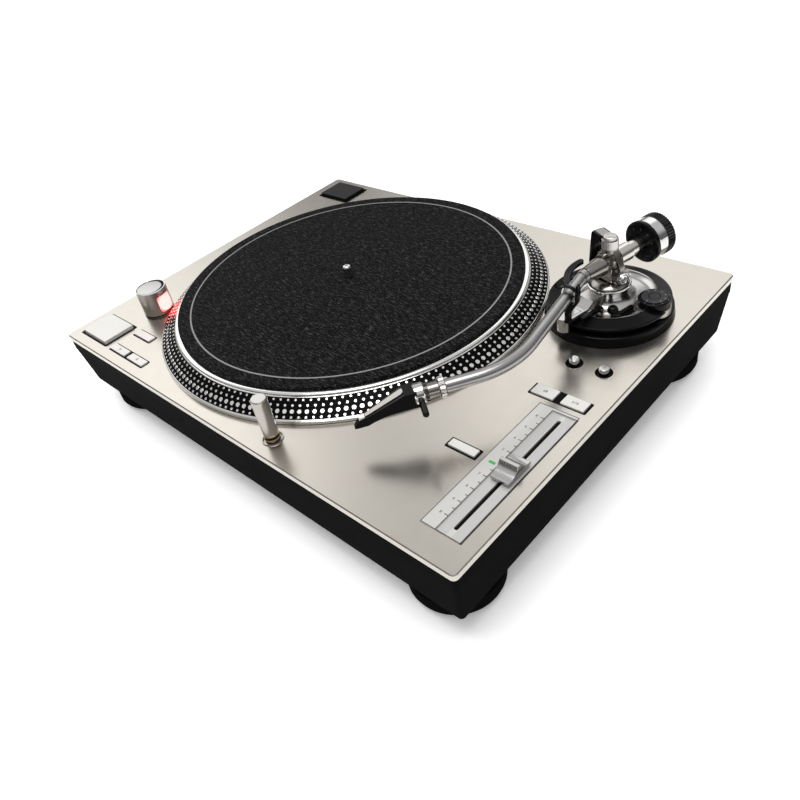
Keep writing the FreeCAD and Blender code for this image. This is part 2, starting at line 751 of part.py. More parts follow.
def rear_panel():
    """The panel behind the rear window, with the mains inlet, two phono sockets and the earth post."""
    rearward = (0, 1, 0)
    plate = box("panel_plate", "158", "2", "28.6", ("-104", PANEL_FRONT, "29.1"))
    holes = [box("panel_inlet_hole", "27.8", "4", "20.2", (f"{INLET_X} - 13.9", f"{PANEL_FRONT} - 1", "33.9"))]
    for x in (*PHONO_X, POST_X):
        holes.append(rod(f"panel_hole_{x}", "3.1", "4", (x, f"{PANEL_FRONT} - 1", SOCKET_Z), rearward))
    keep(minus("panel_cut", plate, holes), "terminal_panel")

    flange = box("inlet_flange", "31", "1.6", "23", (f"{INLET_X} - 15.5", PANEL_REAR, "32.5"))
    shell = box("inlet_shell", "27.6", "15", "20", (f"{INLET_X} - 13.8", f"{PANEL_REAR} - 13.4", "34"))
    well = box("inlet_well", "23.6", "14", "16", (f"{INLET_X} - 11.8", f"{PANEL_REAR} - 11.4", "36"))
    inlet = minus("inlet", joined("inlet_body", [flange, shell]), [well])
    pieces = [inlet]
    for index, (across, rise) in enumerate(((-7, 1), (0, -2), (7, 1))):
        pin_base = (f"{INLET_X} + {across} - 1", f"{PANEL_REAR} - 11.9", f"{SOCKET_Z} + {rise} - 2")
        pieces.append(box(f"inlet_pin_{index}", "2", "8", "4", pin_base))
    for x in PHONO_X:
        stem = rod(f"phono_stem_{x}", "3", "8", (x, f"{PANEL_REAR} - 6", SOCKET_Z), rearward)
        collar = rod(f"phono_collar_{x}", "5.6", "1.4", (x, PANEL_REAR, SOCKET_Z), rearward)
        barrel = rod(f"phono_barrel_{x}", "4.15", "9", (x, PANEL_REAR, SOCKET_Z), rearward)
        bore = rod(f"phono_bore_{x}", "1.7", "8", (x, f"{PANEL_REAR} + 2", SOCKET_Z), rearward)
        pieces.append(minus(f"phono_{x}", joined(f"phono_body_{x}", [stem, collar, barrel]), [bore]))
    post = rod("post_screw", "1.8", "13", (POST_X, f"{PANEL_REAR} - 5", SOCKET_Z), rearward)
    cap = rod("post_cap", "4", "5", (POST_X, f"{PANEL_REAR} + 1.6", SOCKET_Z), rearward)
    washer = rod("post_washer", "4.6", "1", (POST_X, PANEL_REAR, SOCKET_Z), rearward)
    pieces.append(joined("post", [post, cap, washer]))
    sockets = doc.addObject("Part::Compound", "rear_sockets")
    sockets.Links = pieces
    keep(sockets, "rear_sockets")


# Tonearm base

GUIDE = ("guide_radius * cos(guide_turn)", "guide_radius * sin(guide_turn)")
CLIP_AXIS = ("7.6", "44.6")


def arm_lift():
    """The sleeve in the plate, the ring that turns to set the arm's height and the saucer that rises."""
    turned("arm_mount_sleeve", "carriage", [
        ("skirt_radius + 0.3", "-14"),
        ("sleeve_radius", "-14"),
        ("sleeve_radius", "-8"),
        ("sleeve_radius + 7", "-8"),
        ("sleeve_radius + 7", "-4.85"),
        ("sleeve_radius", "-4.85"),
        ("sleeve_radius", "7.2"),
        ("skirt_radius + 0.3", "7.2"),
    ])
    turned("height_ring", "carriage", [
        ("sleeve_radius + free_gap", "0.25"),
        ("ring_radius - 0.4", "0.25"),
        ("ring_radius", "0.8"),
        ("ring_radius - 0.9", "ring_height - 1"),
        ("ring_radius - 1.9", "ring_height", "1.1"),
        ("sleeve_radius + free_gap", "ring_height"),
    ])
    body = turned("arm_saucer", "carriage", [
        ("skirt_radius - 2.5", "-10"),
        ("skirt_radius", "-10"),
        ("skirt_radius", "8"),
        ("saucer_neck", "8"),
        ("saucer_neck", "10.6"),
        ("saucer_neck + 0.7", "11.2"),
        ("saucer_neck", "11.8"),
        ("saucer_radius", "12.5"),
        ("saucer_radius", "13.4"),
        ("saucer_radius - 0.7", "14.1", "0.8"),
        ("lip_radius + 0.6", "lip_height"),
        ("lip_radius", "lip_height"),
        ("lip_radius", "11.8"),
        ("10", "11.8"),
        ("10", "9"),
        ("skirt_radius - 2.5", "9"),
    ])
    wells = new_sketch(body, offset="20")
    draw_circle(wells, "dial_a", "dial_b", "dial_radius + 0.6")
    draw_circle(wells, "47", "1", "5.1")
    pocket(body, wells, "11.6")


def arm_dish():
    """The polished dish inside the saucer, with two windows beside the height lock."""
    body = turned("arm_dish", "carriage", [
        ("cup_radius + 0.1", "11.85"),
        ("lip_radius - 0.1", "11.85"),
        ("lip_radius - 0.1", "lip_height + 0.4"),
        ("lip_radius - 1", "lip_height + 0.4"),
        ("lip_radius - 6", "13.4", "-7.5"),
        ("cup_radius + 0.1", "13.4"),
    ])
    cuts = new_sketch(body, offset="20")
    draw_circle(cuts, "dial_a", "dial_b", "dial_radius + 0.6")
    draw_rectangle(cuts, "9", "18.6", "10", "3.2", "0.6")
    draw_rectangle(cuts, "8", "26", "11", "3.2", "0.6")
    draw_circle(cuts, "1", "22.4", "1.6")
    pocket(body, cuts, "9")


def height_lock():
    """The lever with a ball that locks the arm's height."""
    body = turned("lock_lever", "lock", [
        ("0", "13.8"),
        ("1.5", "13.8"),
        ("1.5", "15.3"),
        ("1.5", "21.5", "3.2"),
        ("0", "21.5"),
    ])
    blade = new_sketch(body, offset="13.8")
    draw(blade, [
        ("-16.4", "1.3", "1.75"),
        ("-3", "1.3"),
        ("0", "-1.4"),
        ("1.4", "0.4"),
        ("-2", "4.7"),
        ("-16.4", "4.7"),
    ])
    pad(body, blade, "1.2")
    pin = new_sketch(body, offset="12")
    draw_circle(pin, "-16.4", "3", "1.55")
    pad(body, pin, "2")


def pivot_cup():
    """The pillar that carries the gimbal, with a bright ring round its mouth."""
    turned("pivot_cup", "carriage", [
        ("2.5 + running_gap", "11.85"),
        ("cup_radius", "11.85"),
        ("cup_radius", "cup_height - 1.3"),
        ("cup_radius + 0.4", "cup_height - 1.1"),
        ("cup_radius + 0.4", "cup_height"),
        ("cup_radius - 0.6", "cup_height"),
        ("cup_radius - 0.6", "cup_height - 0.9"),
        ("2.5 + running_gap", "cup_height - 0.9"),
    ])


def gimbal_yoke():
    """The fixed C-shaped yoke, from the dish up and over to the upper bearing."""
    body = new_body("gimbal_yoke")
    side = new_sketch(body, "XZ_Plane")
    draw(side, [
        ("16.8", "13.4"),
        ("21.6", "13.4"),
        ("21.2", "31"),
        ("18", "60.4"),
        ("14.6", "63.6", "3.4"),
        ("-5.6", "63.6"),
        ("-6.2", "62.8", "0.9"),
        ("-6.2", "61.1"),
        ("6.6", "61.1"),
        ("6.6", "57.4"),
        ("15", "46.5", "-17"),
        ("16.8", "36"),
    ])
    pad(body, side, "yoke_width", middle=True)
    soften(body, "2.2", lambda edge: edge.BoundBox.YLength < 1e-4 and edge.CenterOfMass.x > 17.5)
    bearing = new_sketch(body, offset="60")
    draw_circle(bearing, "0", "0", "2 + running_gap")
    pocket(body, bearing, "3", upward=True)
    place(body, "yoke")
    cap = new_body("bearing_cap")
    strip = new_sketch(cap, offset="63.6")
    draw(strip, [
        ("0", "-6", "6.05"),
        ("13.4", "-4.8"),
        ("13.4", "4.8"),
        ("0", "6"),
    ])
    pad(cap, strip, "0.7")
    screw = new_sketch(cap, offset="64.3")
    draw_circle(screw, "0", "0", "4.7")
    draw_circle(screw, "0", "0", "3.4")
    pad(cap, screw, "0.6")
    centre = new_sketch(cap, offset="64.3")
    draw_circle(centre, "0", "0", "2.5")
    pad(cap, centre, "0.9")
    slot = new_sketch(cap, offset="65.2")
    draw_rectangle(slot, "0", "0", "5.4", "0.7", "0.1")
    pocket(cap, slot, "0.5")
    place(cap, "yoke")


def rest_bracket():
    """The stepped tongue under the arm, its foot, the cue lift's guide and the cue lever's bearing."""
    body = new_body("rest_bracket")
    side = new_sketch(body, "XZ_Plane", "-1")
    draw(side, [
        ("12", "22.8"),
        ("24.5", "22.8"),
        ("31", "17.6"),
        ("52.6", "17.6"),
        ("52.6", "19"),
        ("31.6", "19"),
        ("25", "24.2"),
        ("12", "24.2"),
    ])
    pad(body, side, "14", middle=True)
    soften(body, "6.8", lambda edge: upright(edge) and edge.CenterOfMass.x > 52)
    cup = new_sketch(body, offset="26")
    draw_circle(cup, "0", "0", "cup_radius + 0.05")
    pocket(body, cup, "5")
    foot = new_sketch(body, offset="8.6")
    draw_circle(foot, "47", "1", "5")
    pad(body, foot, "9.2")
    guide = new_sketch(body, offset="13.4")
    draw_circle(guide, *GUIDE, "3.5")
    draw_circle(guide, *GUIDE, "1.8 + running_gap")
    pad(body, guide, "9.6")
    cheek = new_sketch(body, offset="13.4")
    draw_rectangle(cheek, "22", "9.2", "6", "1.4", "0.2")
    pad(body, cheek, "7")
    pin = new_sketch(body, "XZ_Plane", "-13.9")
    draw_circle(pin, "22", "17.6", "1.3")
    pad(body, pin, "4.6")
    place(body, "carriage")


def arm_rest():
    """The cradle under and beside the tube, and the clip that swings over it."""
    body = new_body("arm_rest")
    section = new_sketch(body, "YZ_Plane", "-4")
    draw(section, [
        ("-7.6", "27"),
        ("-1", "27"),
        ("9.3", "37", "-17"),
        ("9.3", "45.6"),
        ("5.9", "45.6", "1.75"),
        ("5.9", "37.8"),
        ("3.1", "34.7", "-4"),
        ("-6.4", "34.7"),
        ("-7.2", "33.4"),
    ])
    pad(body, section, "8")
    stem = new_sketch(body, offset="19.05")
    draw_rectangle(stem, "-4", "-4.4", "8", "6.8", "1")
    pad(body, stem, "12")
    gap = new_sketch(body, "YZ_Plane", "-1.7")
    draw_rectangle(gap, "8", "45.4", "6", "6", "0.2")
    pocket(body, gap, "3.4", upward=True)
    pin = new_sketch(body, "YZ_Plane", "-2.5")
    draw_circle(pin, *CLIP_AXIS, "1")
    pad(body, pin, "5")
    place(body, "rest")

    clip = new_body("rest_clip")
    lug = new_sketch(clip, "YZ_Plane", "-1.5")
    draw(lug, [
        ("5.8", "47.4"),
        ("5.8", "44.6"),
        ("9.4", "44.6", "1.85"),
        ("9.4", "47.4"),
    ])
    draw_circle(lug, *CLIP_AXIS, "1 + running_gap")
    pad(clip, lug, "3")
    band = new_sketch(clip, "YZ_Plane", "-3.4")
    draw(band, [
        ("5.7", "47.4"),
        ("9.4", "47.4"),
        ("9.4", "48.8"),
        ("7", "51.2", "2.4"),
        ("-6.4", "51.2"),
        ("-9.8", "47.8", "3.4"),
        ("-9.8", "46.1"),
        ("-8.3", "45.9"),
        ("-8.3", "47.4"),
        ("-6.9", "48.8", "-1.4"),
        ("4.3", "48.8"),
    ])
    pad(clip, band, "6.8")
    place(clip, "rest")


def antiskate():
    """The anti-skate dial and the bright skirt under it."""
    turned("antiskate_skirt", "dial", [
        ("2 + running_gap", "8.6"),
        ("dial_radius + 0.5", "8.6"),
        ("dial_radius + 0.5", "13.4"),
        ("dial_radius", "13.9", "0.5"),
        ("2 + running_gap", "13.9"),
    ])
    turned("antiskate_dial", "dial", [
        ("0", "9.4"),
        ("2", "9.4"),
        ("2", "14.3"),
        ("dial_radius - 0.3", "14.3"),
        ("dial_radius", "14.6"),
        ("dial_radius", "19"),
        ("dial_radius - 1", "20", "1"),
        ("dial_radius - 1.8", "20.1"),
        ("dial_radius - 2.1", "20.6"),
        ("0", "20.6"),
    ])


def cueing():
    """The cue lever, and the curved bar that it raises under the tube."""
    lever = new_body("cue_lever")
    side = new_sketch(lever, "XZ_Plane", "-13.2")
    draw(side, [
        ("22", "14.8", "2.85"),
        ("24.2", "17.2"),
        ("39.5", "17.2"),
        ("39.5", "19.6", "1.25"),
        ("24.2", "19.6"),
        ("22", "20.4"),
    ])
    draw_circle(side, "22", "17.6", "1.3 + running_gap")
    pad(lever, side, "3")
    place(lever, "carriage")

    lift = new_body("cue_lift")
    bar = new_sketch(lift, offset="28.6")
    draw_sector(bar, "28.2", "32.6", -95, -20, "2.3")
    pad(lift, bar, "2.7")
    grooves = new_sketch(lift, offset="31.3")
    for radius in (29.3, 30.7):
        draw_sector(grooves, str(radius), str(radius + 0.6), -93, -22, "0.35")
    pocket(lift, grooves, "0.5")
    web = new_sketch(lift, offset="25.6")
    along = ("cos(guide_turn)", "sin(guide_turn)")
    corners = []
    for reach, side_step in (("(guide_radius - 2.6)", -2.5), ("(guide_radius + 6)", -2.5),
                             ("(guide_radius + 6)", 2.5), ("(guide_radius - 2.6)", 2.5)):
        corners.append((f"{reach} * {along[0]} - ({side_step}) * {along[1]}",
                        f"{reach} * {along[1]} + ({side_step}) * {along[0]}"))
    draw(web, corners)
    pad(lift, web, "3.1")
    pin = new_sketch(lift, offset="14.6")
    draw_circle(pin, *GUIDE, "1.8")
    pad(lift, pin, "11.2")
    place(lift, "carriage")


def draw_sector(sketch, inner, outer, first, last, end):
    """A bar bent about the origin, from one angle to another, with round ends."""
    points = []
    for radius, angle, bend in ((outer, first, end), (outer, last, outer), (inner, last, end), (inner, first, f"-{inner}")):
        points.append((f"{radius} * cos({angle})", f"{radius} * sin({angle})", bend))
    draw(sketch, points)


# Gimbal and tonearm, the arm's axis at zero height

def gimbal():
    """The black housing that turns in the cup, and the bright arch with its two pivot screws."""
    body = turned("gimbal_housing", "gimbal", [
        ("0", "14"),
        ("2.5", "14"),
        ("2.5", "24.95"),
        ("13.8", "24.95"),
        ("13.8", "25.9"),
        ("9", "28.8", "7.6"),
        ("0", "28.8"),
    ])
    for offset in ("-13", "8"):
        ear = new_sketch(body, "XZ_Plane", offset)
        draw(ear, [
            ("-6.5", "pitch_height"),
            ("6.5", "pitch_height", "6.6"),
            ("4.6", "39.9"),
            ("-4.6", "39.9"),
        ])
        pad(body, ear, "5")
    foot = new_sketch(body, offset="25")
    draw_rectangle(foot, "0", "10.4", "9", "5", "0.4")
    draw_rectangle(foot, "0", "-10.4", "9", "5", "0.4")
    pad(body, foot, "8")
    holes = new_sketch(body, "XZ_Plane")
    draw_circle(holes, "0", "pitch_height", "1.7")
    pocket(body, holes, "40").Midplane = True
    head = new_sketch(body, offset="51.5")
    draw_circle(head, "0", "0", "5.9")
    pad(body, head, "9.3")
    pin = new_sketch(body, offset="60.8")
    draw_circle(pin, "0", "0", "2")
    pad(body, pin, "1.8")

    arch = new_body("gimbal_arch")
    front = new_sketch(arch, "YZ_Plane", "-4.2")
    draw(front, [
        ("13", "39.95"),
        ("12.2", "43"),
        ("4.6", "54.8"),
        ("3", "55.6", "2"),
        ("-3", "55.6"),
        ("-4.6", "54.8", "2"),
        ("-12.2", "43"),
        ("-13", "39.95"),
        ("-9.4", "39.95"),
        ("-9", "42.2"),
        ("-2.4", "52"),
        ("2.4", "52"),
        ("9", "42.2"),
        ("9.4", "39.95"),
    ])
    pad(arch, front, "9")
    hole = new_sketch(arch, offset="60")
    draw_circle(hole, "0", "0", "5.95")
    pocket(arch, hole, "12")
    for offset, screw_offset in (("-14.2", "-13.1"), ("13.1", "5.4")):
        head = new_sketch(arch, "XZ_Plane", offset)
        draw_circle(head, "0", "pitch_height", "3.6")
        draw_circle(head, "0", "pitch_height", "2.6")
        pad(arch, head, "1.1")
        screw = new_sketch(arch, "XZ_Plane", screw_offset)
        draw_circle(screw, "0", "pitch_height", "1.6")
        pad(arch, screw, "7.7")
    place(arch, "gimbal")


def arm_barrel():
    """The bearing barrel with its rear shaft, and the block under it that the pivot screws hold."""
    body = turned("arm_barrel", "arm", [
        ("-52", "0"),
        ("barrel_front", "0"),
        ("barrel_front", "5.1"),
        ("barrel_front - 0.2", "5.3"),
        ("8", "6.4"),
        ("6.4", "barrel_waist"),
        ("-5.4", "barrel_waist"),
        ("-6.4", "barrel_radius"),
        ("-barrel_rear", "barrel_radius"),
        ("-barrel_rear", "barrel_radius - 0.8"),
        ("-barrel_rear - 0.7", "barrel_radius - 0.8"),
        ("-barrel_rear - 0.7", "shaft_radius"),
        ("-51.5", "shaft_radius"),
        ("-52", "shaft_radius - 0.5"),
    ], axis="H_Axis")
    block = new_sketch(body, offset="-12.6")
    draw_rectangle(block, "0", "0", "12", "14.6", "1")
    pad(body, block, "10.4")
    drop = "(arm_height - pitch_height)"
    for offset, inward in (("-7.3", True), ("7.3", False)):
        hole = new_sketch(body, "XZ_Plane", offset)
        draw_circle(hole, f"{drop} * sin(arm_dip)", f"-{drop} * cos(arm_dip)", "1.6 + running_gap")
        pocket(body, hole, "2.2", upward=inward)


def on_first_bend(distance):
    """The point of the first bend at a distance along the arm."""
    start, radius = value("first_bend_start"), value("first_bend_radius")
    turn = math.asin((distance - start) / radius)
    return Vector(distance, radius * (1 - math.cos(turn)), 0)


def tube_path():
    """The S of the tube: its corner points and bends, solved so that the last run meets the head's line."""
    start, first, head = (value(word) for word in ("first_bend_start", "first_bend", "head_angle"))
    small, large, reach = (value(word) for word in ("first_bend_radius", "second_bend_radius", "head_reach"))
    out, back = math.radians(first), math.radians(head)
    bend_one = Vector(start + small * math.sin(out), small * (1 - math.cos(out)), 0)
    sweep = Vector(math.sin(out) + math.sin(back), math.cos(back) - math.cos(out), 0) * large
    run_out = Vector(math.cos(out), math.sin(out), 0)
    run_back = Vector(math.cos(back), -math.sin(back), 0)
    end = Vector(reach, 0, 0) - run_back * (value("socket_station") - 2.4)
    gap = end - bend_one - sweep
    length_out = (gap.x * run_back.y - gap.y * run_back.x) / (run_out.x * run_back.y - run_out.y * run_back.x)
    bend_two = bend_one + run_out * length_out
    return bend_one, bend_two, bend_two + sweep, end


def sweep_along(body, outer, corners, bends):
    """Sweeps a pipe of the tube's bore along a path that starts just in front of the barrel."""
    start = corners[0]
    section = new_sketch(body, "YZ_Plane", str(start.x))
    draw_circle(section, str(start.y), "0", outer)
    draw_circle(section, str(start.y), "0", "tube_radius - tube_wall")
    path = new_sketch(body)
    points = []
    for index, corner in enumerate(corners):
        spot = (str(corner.x), str(corner.y))
        points.append((*spot, bends[index]) if index in bends else spot)
    draw(path, points, closed=False)
    pipe = body.newObject("PartDesign::AdditivePipe", "arm_tube_sweep")
    pipe.Profile = section
    pipe.Spine = (path, [])


def arm_tube():
    """The S-shaped tube, swept along its straight runs and bends, with the ferrule where it leaves the barrel."""
    body = new_body("arm_tube")
    start = on_first_bend(value("barrel_front + running_gap"))
    sweep_along(body, "tube_radius", [start, *tube_path()], {1: "first_bend_radius", 3: "-second_bend_radius"})
    ferrule = on_first_bend(value("barrel_front + 4.2"))
    sweep_along(body, "5.1", [start, ferrule], {1: "first_bend_radius"})
    place(body, "arm")


def arm_socket():
    """The socket on the tube's end, and the collar that locks the cartridge in it."""
    turned("arm_socket", "head", [
        ("-socket_station", "tube_radius + running_gap"),
        ("-socket_station", "6.2"),
        ("-socket_station + 0.5", "6.8"),
        ("-socket_station + 4", "6.8"),
        ("-socket_station + 4.5", "6.3"),
        ("-socket_station + 4.5", "4.4"),
        ("-socket_station + 11", "4.4"),
        ("-socket_station + 11", "3.4 + running_gap"),
        ("-socket_station + 4.5", "3.4 + running_gap"),
        ("-socket_station + 3", "3.4 + running_gap"),
        ("-socket_station + 3", "tube_radius + running_gap"),
    ], axis="H_Axis")
    turned("locking_collar", "head", [
        ("-socket_station + 4.7", "4.4 + running_gap"),
        ("-socket_station + 4.7", "5.2"),
        ("-socket_station + 11.4", "5.2"),
        ("-socket_station + 11.6", "6.4"),
        ("-socket_station + 13.8", "6.4"),
        ("-socket_station + 13.8", "4.4 + running_gap"),
    ], axis="H_Axis")


def cartridge():
    """The one-piece cartridge: plug, collar, drooping body, stylus and finger lift."""
    body = new_body("cartridge")
    revolve(body, [
        ("-55.5", "0"),
        ("-55.5", "3.4"),
        ("-48.4", "3.4"),
        ("-48.4", "6.6"),
        ("-47.9", "7"),
        ("-42.5", "7"),
        ("-41.9", "6.4"),
        ("-41.9", "0"),
    ], "H_Axis")
    side = new_sketch(body, "XZ_Plane")
    draw(side, [
        ("-43.5", "-6.2"),
        ("-27", "-7"),
        ("-9", "-12.4", "-60"),
        ("-0.6", "-12.9"),
        ("0", "-12.2"),
        ("-2.6", "-8.8"),
        ("-4.5", "-6.9"),
        ("-8.7", "-5.6"),
        ("-35.5", "5.6"),
        ("-43.5", "5.8"),
    ])
    pad(body, side, "12", middle=True)
    taper = new_sketch(body, offset="10")
    for mirror in ("1", "-1"):
        draw(taper, [
            ("-41.5", f"{mirror} * 7.5"),
            ("-41.5", f"{mirror} * 5.8"),
            ("-26.5", f"{mirror} * 4.6"),
            ("0", f"{mirror} * 2"),
            ("3", f"{mirror} * 7.5"),
        ])
    pocket(body, taper, "30")
    finger = new_sketch(body, "XZ_Plane", "-22")
    draw_circle(finger, "-45.3", "-0.6", "2.1")
    pad(body, finger, "17")
    soften(body, "1.9", lambda edge: edge.BoundBox.YMin > 21.9)
    tip = new_sketch(body, offset="-13.4")
    draw_circle(tip, "-2", "0", "0.35")
    pad(body, tip, "1.6")
    place(body, "head")


def balance():
    """The counterweight on its threaded bushing, and the numbered dial in front of it."""
    near, far = "-weight_start - 0.3", "-weight_start - weight_length"
    turned("weight_bushing", "arm", [
        (f"{far} + 1", "shaft_radius + running_gap"),
        ("-30.8", "shaft_radius + running_gap"),
        ("-30.8", "bushing_radius"),
        (f"{far} + 1", "bushing_radius"),
    ], axis="H_Axis")
    turned("counterweight", "arm", [
        (far, "bushing_radius + running_gap"),
        (near, "bushing_radius + running_gap"),
        (near, "weight_radius - 0.4"),
        (f"{near} - 0.4", "weight_radius"),
        ("-42.5", "weight_radius"),
        ("-42.5", "14.4"),
        ("-42.9", "14.8"),
        (f"{far} + 0.6", "14.8"),
        (far, "14.2"),
    ], axis="H_Axis")
    turned("force_dial", "arm", [
        ("-weight_start", "bushing_radius + running_gap"),
        ("-30.4", "bushing_radius + running_gap"),
        ("-30.4", "13.2"),
        ("-31.8", "15.9", "4.5"),
        ("-weight_start + 0.5", "15.9"),
        ("-weight_start", "15.4"),
    ], axis="H_Axis")


def build():
    """Makes every sub-part in the document."""
    for make in (
        top_plate, upper_frame, base_shell, bottom_cover, feet, bezels, keys, fader_panel, control_board,
        pitch_fader, small_knobs, target_light, strobe, platter, slipmat, motor, rear_panel, arm_lift, arm_dish,
        height_lock, pivot_cup, gimbal_yoke, rest_bracket, arm_rest, antiskate, cueing, gimbal, arm_barrel,
        arm_tube, arm_socket, cartridge, balance,
    ):
        make()
    doc.recompute()


def faults():
    """What is wrong with any object or any sub-part's shape."""
    found = [f"{item.Label}: {item.State}" for item in doc.Objects if {"Invalid", "Error"} & set(item.State)]
    for node in NODES:
        shape = node.Shape
        if shape.isNull() or not shape.isValid() or not shape.Solids:
            found.append(f"{node.Label}: no sound solid")
    return found


def write():
    """Writes each sub-part's shape to a file with its name."""
    os.makedirs("parts", exist_ok=True)
    for node in NODES:
        node.Shape.exportStep(f"parts/{node.Label}.step")


build()
problems = faults()
if problems:
    raise SystemExit("\n".join(problems))
write()
print(f"{len(NODES)} sub-parts")
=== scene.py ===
"""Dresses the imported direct-drive DJ turntable: its finishes, its fine parts, the studio and the camera.

Lengths inside the classes are millimetres. Each piece is drawn in a frame of the CAD model, where height is
counted from the top of the plate, and in the tonearm's own frames from its tube. The maker turns the result
into metres.
"""
import json
import logging
import math
from collections.abc import Iterable, Sequence
from dataclasses import dataclass, field
from enum import Enum

import bpy
from mathutils import Matrix, Vector

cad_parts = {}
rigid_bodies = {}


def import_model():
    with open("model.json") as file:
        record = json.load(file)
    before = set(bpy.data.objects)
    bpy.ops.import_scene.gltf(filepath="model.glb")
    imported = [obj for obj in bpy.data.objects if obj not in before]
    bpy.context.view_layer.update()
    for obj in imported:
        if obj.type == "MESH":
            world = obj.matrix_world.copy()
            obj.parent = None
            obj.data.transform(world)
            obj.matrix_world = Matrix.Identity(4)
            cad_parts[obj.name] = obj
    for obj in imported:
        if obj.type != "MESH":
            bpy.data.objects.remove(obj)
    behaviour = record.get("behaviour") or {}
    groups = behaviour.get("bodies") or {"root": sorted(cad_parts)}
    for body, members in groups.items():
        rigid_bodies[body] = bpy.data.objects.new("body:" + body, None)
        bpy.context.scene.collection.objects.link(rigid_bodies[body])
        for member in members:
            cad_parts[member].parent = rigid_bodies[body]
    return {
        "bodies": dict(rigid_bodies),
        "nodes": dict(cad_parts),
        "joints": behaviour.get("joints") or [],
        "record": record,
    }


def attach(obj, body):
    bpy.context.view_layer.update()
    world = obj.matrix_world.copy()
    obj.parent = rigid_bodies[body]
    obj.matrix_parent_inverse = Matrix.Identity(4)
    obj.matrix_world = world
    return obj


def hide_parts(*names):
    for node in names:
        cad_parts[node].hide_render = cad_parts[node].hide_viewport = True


LOG = logging.getLogger("turntable")

Point = tuple[float, float]
Section = tuple[Point, ...]
Place = tuple[float, float, float]
Four = tuple[float, float, float, float]

MM = 0.001
PLATE_TOP = 78.0
WHITE = (1.0, 1.0, 1.0, 1.0)
# The radius that a turned piece starts at on its axis, so that no two of its corners meet there.
PIN = 0.01
# How far a printed mark is sunk in what it is printed on, and how far it stands proud.
INK_LOW, INK_HIGH = -0.02, 0.04
# The steps of the largest rings, and the angle in degrees that keeps a knurl's edges sharp.
ROUND = 512
KNURL_SMOOTH = 20.0
# A tenth of a turn in degrees, the distance of two numbers on a dial.
TENTH = 36
# What a noise texture gives lies mostly between these: first for the fine marks, then for broad patches.
MARK_SPAN = (0.3, 0.7)
PATCH_SPAN = (0.35, 0.65)
# A patch of duller or brighter surface is this many times as wide as a mark.
PATCH_SIZE = 30
# Brushed marks are 25 times as long as they are wide, and the felt's pale streaks, which are painted sheen, 6
# times, turned by 4 degrees.
BRUSH_STRETCH = 0.04
FELT_STRETCH = 0.16
FELT_TURN = -4
# The colour of the felt's loose fibres, which also serves as painted sheen in its pale specks and streaks.
FIBRE_AND_SHEEN_COLOUR = "525253"
# The colour of a lamp seen through acrylic, and where that colour starts and ends to fade, in millimetres.
LAMP_COLOUR = "FFDED8"
LAMP_SPAN = (6.2, 10.5)


def linear(colour: str) -> Four:
    """Turns an sRGB hex colour into linear light, by the numbers of the sRGB standard.

    Args:
        colour: Six hex digits, such as "D8D2C6".

    Returns:
        Red, green, blue and an opacity of one.
    """
    parts = [int(colour[place:place + 2], 16) / 255 for place in (0, 2, 4)]
    return (*[part / 12.92 if part <= 0.04045 else ((part + 0.055) / 1.055) ** 2.4 for part in parts], 1.0)


def scaled(colour: str, amount: float) -> Four:
    """Gives a colour made lighter or darker by a factor, in linear light."""
    return (*[min(part * amount, 1.0) for part in linear(colour)[:3]], 1.0)


def add(
    tree: bpy.types.NodeTree, kind: str, settings: dict | None = None, inputs: dict | None = None,
) -> bpy.types.Node:
    """Adds a node to a tree, with its settings and what its sockets take.

    Sockets that share a name go by number. A range takes its value at 0, its own limits at 1 and 2, and the
    limits that it is mapped to at 3 and 4. A mix takes its share at 0, and its two colours at 6 and 7.

    Args:
        tree: The node tree of a material or of the world.
        kind: The node's type.
        settings: Properties of the node.
        inputs: A value, or the socket of another node, for each of the node's sockets.

    Returns:
        The new node.
    """
    node = tree.nodes.new(kind)
    for name, setting in (settings or {}).items():
        setattr(node, name, setting)
    for name, source in (inputs or {}).items():
        if isinstance(source, bpy.types.NodeSocket):
            tree.links.new(source, node.inputs[name])
        else:
            node.inputs[name].default_value = source
    return node


class Pattern(Enum):
    """How the surface of a material was made, which sets the way that its fine marks run."""

    GRAIN = "moulded, cast or blasted, the same in all directions"
    BRUSHED = "brushed or ground along X"
    TURNED = "cut on a lathe about an upright axis"
    FELT = "pressed fibres, with loose ones standing up"
    LIT = "a lamp shines through it"


